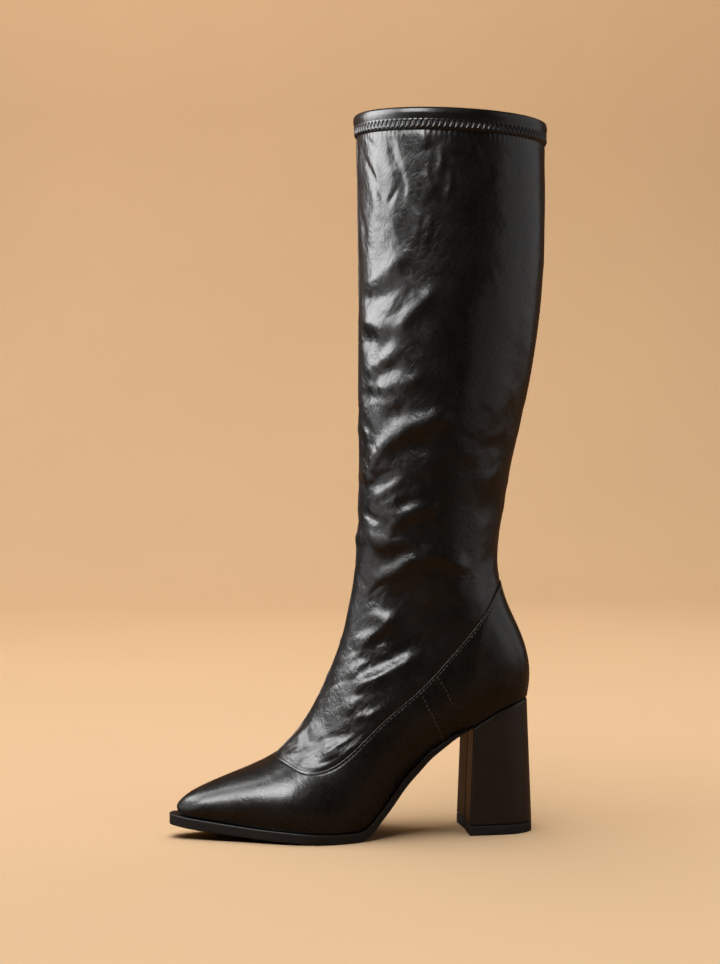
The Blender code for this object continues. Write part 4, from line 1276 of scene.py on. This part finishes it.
def inset_ring(ring, amount):
    step = np.roll(ring[:-1], -1, axis=0) - np.roll(ring[:-1], 1, axis=0)
    outward = unit(np.column_stack([step[:, 1], -step[:, 0]]))
    outward = np.concatenate([outward, outward[:1]])
    away = (outward * (ring - ring.mean(0))).sum()
    return ring - outward * amount * np.sign(away)


def flat_ring(plan, inset, high):
    ring = inset_ring(plan, inset) if inset else plan
    return np.column_stack([ring, np.broadcast_to(high, len(plan))])


def ringed_block(name, rings, material):
    """A solid from closed rings, bottom to top, with flat caps."""
    for ring in rings:
        ring[-1] = ring[0]
    grids = [np.stack(rings)]
    for ring in (rings[0], rings[-1]):
        middle = ring.mean(0)
        grids.append(np.stack([ring, middle + (ring - middle) * 0.02]))
    return grids_object(name, grids, material, outward=True, sharp=0.9)


def build_heel(cover, rubber_lift):
    """The covered block and its top piece."""
    top = heel_ring(HEEL_TOP_BACK, HEEL_TOP_BREAST, 0.0, HEEL_CORNER, True)
    foot = heel_ring(0.0, HEEL_FOOT_BREAST, HEEL_WIDEN, HEEL_CORNER, True)
    floor_z, ceiling = LIFT_THICK + SOLE_GAP, sole_bottom(top[:, 0]) - SOLE_GAP
    rings = [flat_ring(foot, inset, floor_z + rise) for inset, rise in HEEL_RIM]
    rings += [flat_ring(foot * (1 - share) + top * share, 0.0,
                        floor_z * (1 - share) + ceiling * share)
              for share in np.linspace(0, 1, 46)[1:-1]]
    rings += [flat_ring(top, inset, ceiling - rise) for inset, rise in HEEL_RIM[::-1]]
    settle(ringed_block("heel_cover", rings, cover), "heel_cover", "heel_block")
    plan = heel_ring(0.0, HEEL_FOOT_BREAST, HEEL_WIDEN, LIFT_CORNER, False)
    rings = [flat_ring(plan, inset, high) for inset, high in LIFT_WALL]
    settle(ringed_block("top_piece", rings, rubber_lift), "lift_rubber", "heel_lift")


# --- Stage ---
SoftBox = namedtuple("SoftBox", "name place target wide high radiance")
# Seen in reflections only. Their radiance is a share of the key light's.
REFLECTED = table_of(SoftBox, [
    ("key", (1.22, -0.23, 0.84), (0.0, 0.0, 0.6), 1.4, 1.3, 1.2),
    ("high_key", (1.03, 0.9, 1.3), (0.04, 0.0, 0.06), 1.0, 1.0, 1.9),
    ("toe_light", (0.96, -0.17, 1.40), (0.12, 0.0, 0.04), 0.42, 0.36, 0.8),
    ("shin_glow", (0.43, 0.04, 0.2), (0.0, 0.0, 0.2), 0.55, 0.38, 0.1),
    ("back_glow", (-0.62, 0.42, 0.16), (0.0, 0.0, 0.16), 1.0, 0.3, 0.035),
])
FILL = SoftBox("fill", (-1.4, 0.1, 0.75), (0.0, 0.0, 0.35), 2.4, 1.7, 0.056)
# Not seen in reflections.
CRISP = 0.03            # share of a box over which its edge falls off
OVERHEAD = SoftBox("overhead", (0.4, 0.3, 2.4), (0.0, 0.0, 0.0), 2.2, 2.2, 6.4)
WALL_WASH = SoftBox("wall_wash", (0.0, -0.9, 2.2), (0.0, -2.2, 0.4), 4.4, 0.8, 4.2)
WARM = (1.0, 0.9, 0.78)
# Painted shade in reflections: dark sheets that only reflections see, by their corners.
FLAGS = {
    "floor_flag": [(-4, 0.5, 0.004), (4, 0.5, 0.004), (4, 3.5, 0.004), (-4, 3.5, 0.004)],
    "shin_flag": [(0.45, -0.9, 0.0), (0.45, 0.15, 0.0), (0.45, 0.15, 0.33), (0.45, -0.9, 0.33)],
}
FLOOR_REFLECTED_SHADE = (0.2, 0.145, 0.105)   # painted shade: share of the floor's colour that reflections show
FLOOR_HALF_WIDTH = 4.5
FLOOR_FRONT, BEND_AT, BEND_RADIUS, WALL_TOP = 3.0, -1.6, 0.8, 3.0
DIM, BRIGHT = (0.02, 0.016, 0.012), (0.80, 0.66, 0.50)      # the studio beyond the floor
CAMERA_PLACE = (0.1809, 1.2939, 0.2648)
CAMERA_HEADING = (-0.1392, -0.9903)
CAMERA_TILT = np.radians(1.786)
CAMERA_LENS = 76.67
CAMERA_SENSOR = 36.0


def soft_box(box, times=1.0, tint=(1.0, 1.0, 1.0), edge=0.2):
    """A soft box, darker toward its edges, which the camera doesn't see."""
    light = bpy.data.lights.new(box.name, "AREA")
    light.shape = "RECTANGLE"
    light.size, light.size_y = box.wide, box.high
    light.energy = box.radiance * times * np.pi * box.wide * box.high
    light.color = tint
    light.use_nodes = True
    tree = light.node_tree
    spot = add(tree, "ShaderNodeSeparateXYZ", {
        "Vector": add(tree, "ShaderNodeNewGeometry").outputs["Parametric"]})
    falls = []
    for axis in (0, 1):
        middle = add(tree, "ShaderNodeMath", {0: spot.outputs[axis], 1: 0.5}, operation="SUBTRACT")
        away = add(tree, "ShaderNodeMath", {0: middle.outputs[0]}, operation="ABSOLUTE").outputs[0]
        falls.append(add(tree, "ShaderNodeMapRange", {
            "Value": away, "From Min": 0.5 - edge, "From Max": 0.5, "To Min": 1.0, "To Max": 0.0},
            interpolation_type="SMOOTHSTEP").outputs["Result"])
    share = add(tree, "ShaderNodeMath", dict(enumerate(falls)), operation="MULTIPLY")
    tree.links.new(share.outputs[0], tree.nodes["Emission"].inputs["Strength"])
    lamp = bpy.data.objects.new(box.name, light)
    lamp.location = box.place
    aim = Vector(box.target) - Vector(box.place)
    lamp.rotation_euler = aim.to_track_quat("-Z", "Y").to_euler()
    lamp.visible_camera = False
    bpy.context.scene.collection.objects.link(lamp)
    return lamp


def stage_piece(name, points, faces, material):
    mesh = bpy.data.meshes.new(name)
    mesh.from_pydata(points, [], faces)
    mesh.materials.append(material)
    piece = bpy.data.objects.new(name, mesh)
    bpy.context.scene.collection.objects.link(piece)
    return piece


def build_floor(pale):
    """A plain pale floor that bends up into a wall behind, painted darker where reflections see
    it.
    """
    material, tree, shader, place = new_material(
        "studio_floor", Roughness=0.9, Specular_IOR_Level=0.0)
    share = ranged(tree, grain_of(tree, place, 400.0, 2.0), 0.3, 0.7)
    seen = mixed(tree, share, lighter(pale, 0.97), pale)
    # Painted shade: glossy rays see the floor darker than the camera does.
    glossy = add(tree, "ShaderNodeLightPath").outputs["Is Glossy Ray"]
    both = add(tree, "ShaderNodeMix", {"Factor": glossy, 6: seen}, data_type="RGBA")
    both.inputs[7].default_value = colour([a * b for a, b in zip(FLOOR_REFLECTED_SHADE, pale)])
    tree.links.new(both.outputs[2], shader.inputs["Base Color"])
    bend = [(BEND_AT - BEND_RADIUS * np.sin(turn), BEND_RADIUS * (1 - np.cos(turn)))
            for turn in np.linspace(0, np.pi / 2, 16)]
    profile = [(FLOOR_FRONT, 0.0), *bend, (BEND_AT - BEND_RADIUS, WALL_TOP)]
    points = [(x, y, z) for y, z in profile for x in (-FLOOR_HALF_WIDTH, FLOOR_HALF_WIDTH)]
    faces = [(2 * i, 2 * i + 1, 2 * i + 3, 2 * i + 2) for i in range(len(profile) - 1)]
    stage_piece("studio_floor", points, faces, material).data.shade_smooth()


def build_lights(key):
    """Soft boxes round the boot, and the dark sheets of painted shade that shape its reflections.
    """
    for box in REFLECTED:
        soft_box(box, key).visible_diffuse = False
    soft_box(FILL, key)
    for lamp in (soft_box(OVERHEAD, edge=CRISP), soft_box(WALL_WASH, tint=WARM, edge=CRISP)):
        lamp.visible_glossy = False
    # Painted shade: near black sheets that only glossy rays see.
    shade_cloth = rubber("flag_shade_cloth", (0.01, 0.008, 0.006), (0.02, 0.016, 0.012), 0.9, 2.0, 0.1)
    for name, corners in FLAGS.items():
        flag = stage_piece(name, corners, [(0, 1, 2, 3)], shade_cloth)
        for ray in ("visible_camera", "visible_diffuse", "visible_transmission", "visible_shadow"):
            setattr(flag, ray, False)


def build_world(scene):
    """Warm light beyond the floor for the camera, and a dim one for everything else."""
    scene.world = bpy.data.worlds.new("studio")
    scene.world.use_nodes = True
    tree = scene.world.node_tree
    seen = add(tree, "ShaderNodeLightPath").outputs["Is Camera Ray"]
    dim, bright = (add(tree, "ShaderNodeBackground", {"Color": colour(values)}).outputs[0]
                   for values in (DIM, BRIGHT))
    mix = add(tree, "ShaderNodeMixShader", {0: seen, 1: dim, 2: bright})
    tree.links.new(mix.outputs[0], tree.nodes["World Output"].inputs["Surface"])
    scene.view_settings.view_transform = "Standard"


def build_camera(scene):
    data = bpy.data.cameras.new("studio_camera")
    data.lens, data.sensor_width = CAMERA_LENS, CAMERA_SENSOR
    data.clip_start, data.clip_end = 0.01, 20.0
    camera = bpy.data.objects.new("studio_camera", data)
    level = np.cos(CAMERA_TILT)
    aim = Vector((*(level * part for part in CAMERA_HEADING), -np.sin(CAMERA_TILT)))
    camera.location = CAMERA_PLACE
    camera.rotation_euler = aim.to_track_quat("-Z", "Y").to_euler()
    scene.collection.objects.link(camera)
    scene.camera = camera


# --- The add-on ---
class BootSizes(bpy.types.PropertyGroup):
    """Sizes that a user would change."""

    fold_depth: bpy.props.FloatProperty(
        name="Fold depth", description="How strongly the leg's soft folds are pressed in",
        default=1.0, min=0.0, max=2.0, subtype="FACTOR")
    crush_depth: bpy.props.FloatProperty(
        name="Crush depth", description="How strongly the leg's fine sharp creases are pressed in",
        default=1.0, min=0.0, max=2.0, subtype="FACTOR")
    stitch_pitch: bpy.props.FloatProperty(
        name="Stitch pitch", description="Length of one stitch and its gap",
        default=0.003, min=0.0015, max=0.005, precision=4, subtype="DISTANCE", unit="LENGTH")
    zigzag_pitch: bpy.props.FloatProperty(
        name="Zigzag pitch", description="Length of one zigzag round the collar",
        default=0.0034, min=0.002, max=0.006, precision=4, subtype="DISTANCE", unit="LENGTH")


class BootColours(bpy.types.PropertyGroup):
    """Colours that a user would change."""

    leather: bpy.props.FloatVectorProperty(
        name="Leather", description="Colour of the leather", subtype="COLOR", size=3,
        default=(0.0034, 0.0027, 0.0022), min=0.0, max=1.0)
    rubbed: bpy.props.FloatVectorProperty(
        name="Rubbed leather", description="Colour of the leather where it is rubbed",
        subtype="COLOR", size=3, default=(0.0095, 0.0078, 0.0066), min=0.0, max=1.0)
    heel: bpy.props.FloatVectorProperty(
        name="Heel cover", description="Colour of the covered heel", subtype="COLOR", size=3,
        default=(0.012, 0.0085, 0.007), min=0.0, max=1.0)
    sole: bpy.props.FloatVectorProperty(
        name="Sole", description="Colour of the sole", subtype="COLOR", size=3,
        default=(0.0085, 0.0068, 0.006), min=0.0, max=1.0)
    lining: bpy.props.FloatVectorProperty(
        name="Lining", description="Colour of the lining", subtype="COLOR", size=3,
        default=(0.02, 0.018, 0.017), min=0.0, max=1.0)
    thread: bpy.props.FloatVectorProperty(
        name="Thread", description="Colour of the seam's thread", subtype="COLOR", size=3,
        default=(0.04, 0.036, 0.032), min=0.0, max=1.0)
    floor: bpy.props.FloatVectorProperty(
        name="Floor", description="Colour of the studio floor", subtype="COLOR", size=3,
        default=(0.545, 0.375, 0.225), min=0.0, max=1.0)
    key: bpy.props.FloatProperty(
        name="Key light", description="Radiance of the key soft box", default=8.0, min=0.0)


class BOOT_OT_leg(bpy.types.Operator):
    """Add the leg's two panels with their folds"""
    bl_idname = "boot.leg"
    bl_label = "Leg panels"

    def execute(self, context):
        paint = context.scene.boot_colours
        material = leather("stretch_leather", paint.leather, paint.rubbed, STRETCH_LEATHER)
        build_leg(make_last(), context.scene.boot_sizes, material)
        return {"FINISHED"}


class BOOT_OT_foot(bpy.types.Operator):
    """Add the foot part, its rolled top edge and its tucked feather edge"""
    bl_idname = "boot.foot"
    bl_label = "Foot part"

    def execute(self, context):
        paint = context.scene.boot_colours
        material = leather("smooth_leather", paint.leather, paint.rubbed, SMOOTH_LEATHER)
        build_foot(make_last(), context.scene.boot_sizes, material)
        return {"FINISHED"}


class BOOT_OT_lining(bpy.types.Operator):
    """Add the lining inside leg and foot"""
    bl_idname = "boot.lining"
    bl_label = "Lining"

    def execute(self, context):
        shade = context.scene.boot_colours.lining
        material = knit("tricot_lining", shade, lighter(shade, 1.7))
        build_lining(make_last(), context.scene.boot_sizes, material)
        return {"FINISHED"}


class BOOT_OT_collar(bpy.types.Operator):
    """Add the folded band round the leg's top edge"""
    bl_idname = "boot.collar"
    bl_label = "Collar band"

    def execute(self, context):
        paint = context.scene.boot_colours
        material = leather("band_leather", paint.leather, paint.rubbed, BAND_LEATHER)
        build_band(make_last(), context.scene.boot_sizes, material)
        return {"FINISHED"}


class BOOT_OT_stitching(bpy.types.Operator):
    """Add the threads of seam, quarter, shin and collar, and the painted shade of needle holes"""
    bl_idname = "boot.stitching"
    bl_label = "Stitching"

    def execute(self, context):
        paint = context.scene.boot_colours
        thread = twisted_thread("seam_thread", list(paint.thread), 0.3)
        dark = twisted_thread("collar_thread", [0.0045, 0.0042, 0.004], 0.0)
        # Near black: the painted shade inside needle holes.
        hole_shade = rubber("needle_hole_shade", (0.002, 0.002, 0.002), (0.004, 0.004, 0.004), 0.85, 0.4, 0.02)
        build_stitching(make_last(), context.scene.boot_sizes, thread, dark, hole_shade)
        return {"FINISHED"}


class BOOT_OT_sole(bpy.types.Operator):
    """Add the outsole and the sock inside"""
    bl_idname = "boot.sole"
    bl_label = "Sole and sock"

    def execute(self, context):
        paint = context.scene.boot_colours
        material = rubber("sole_rubber", paint.sole, lighter(paint.sole, 1.6), 0.42, 0.45, 0.025)
        build_sole(material)
        sock = knit("insole_sock", paint.lining, lighter(paint.lining, 1.8))
        build_insole(sock)
        return {"FINISHED"}


class BOOT_OT_heel(bpy.types.Operator):
    """Add the covered heel block and its top piece"""
    bl_idname = "boot.heel"
    bl_label = "Heel"

    def execute(self, context):
        paint = context.scene.boot_colours
        cover = leather("heel_cover", paint.heel, lighter(paint.heel, 1.5), HEEL_LEATHER)
        lift = rubber("lift_rubber", (0.007, 0.006, 0.0055), (0.016, 0.014, 0.013), 0.6, 0.5, 0.03)
        build_heel(cover, lift)
        return {"FINISHED"}


class BOOT_OT_stage(bpy.types.Operator):
    """Add the floor, the soft boxes and the camera"""
    bl_idname = "boot.stage"
    bl_label = "Stage"

    def execute(self, context):
        paint = context.scene.boot_colours
        build_floor(paint.floor)
        build_lights(paint.key)
        build_world(context.scene)
        build_camera(context.scene)
        return {"FINISHED"}


class BOOT_PT_panel(bpy.types.Panel):
    """The boot's sizes, colours and pieces"""
    bl_idname = "BOOT_PT_panel"
    bl_label = "Knee-high boot"
    bl_space_type = "VIEW_3D"
    bl_region_type = "UI"
    bl_category = "Boot"

    def draw(self, context):
        layout = self.layout
        for group in (context.scene.boot_sizes, context.scene.boot_colours):
            column = layout.column()
            for name in group.__annotations__:
                column.prop(group, name)
        column = layout.column()
        for operator in OPERATORS:
            column.operator(operator.bl_idname)


GROUPS = (BootSizes, BootColours)
OPERATORS = (BOOT_OT_leg, BOOT_OT_foot, BOOT_OT_lining, BOOT_OT_collar, BOOT_OT_stitching,
             BOOT_OT_sole, BOOT_OT_heel, BOOT_OT_stage)


def register():
    for kind in (*GROUPS, *OPERATORS, BOOT_PT_panel):
        bpy.utils.register_class(kind)
    bpy.types.Scene.boot_sizes = bpy.props.PointerProperty(type=BootSizes)
    bpy.types.Scene.boot_colours = bpy.props.PointerProperty(type=BootColours)


def unregister():
    del bpy.types.Scene.boot_sizes
    del bpy.types.Scene.boot_colours
    for kind in reversed((*GROUPS, *OPERATORS, BOOT_PT_panel)):
        bpy.utils.unregister_class(kind)


def main():
    register()
    bpy.ops.boot.leg()
    bpy.ops.boot.foot()
    bpy.ops.boot.lining()
    bpy.ops.boot.collar()
    bpy.ops.boot.stitching()
    bpy.ops.boot.sole()
    bpy.ops.boot.heel()
    bpy.ops.boot.stage()


if __name__ == "__main__":
    main()
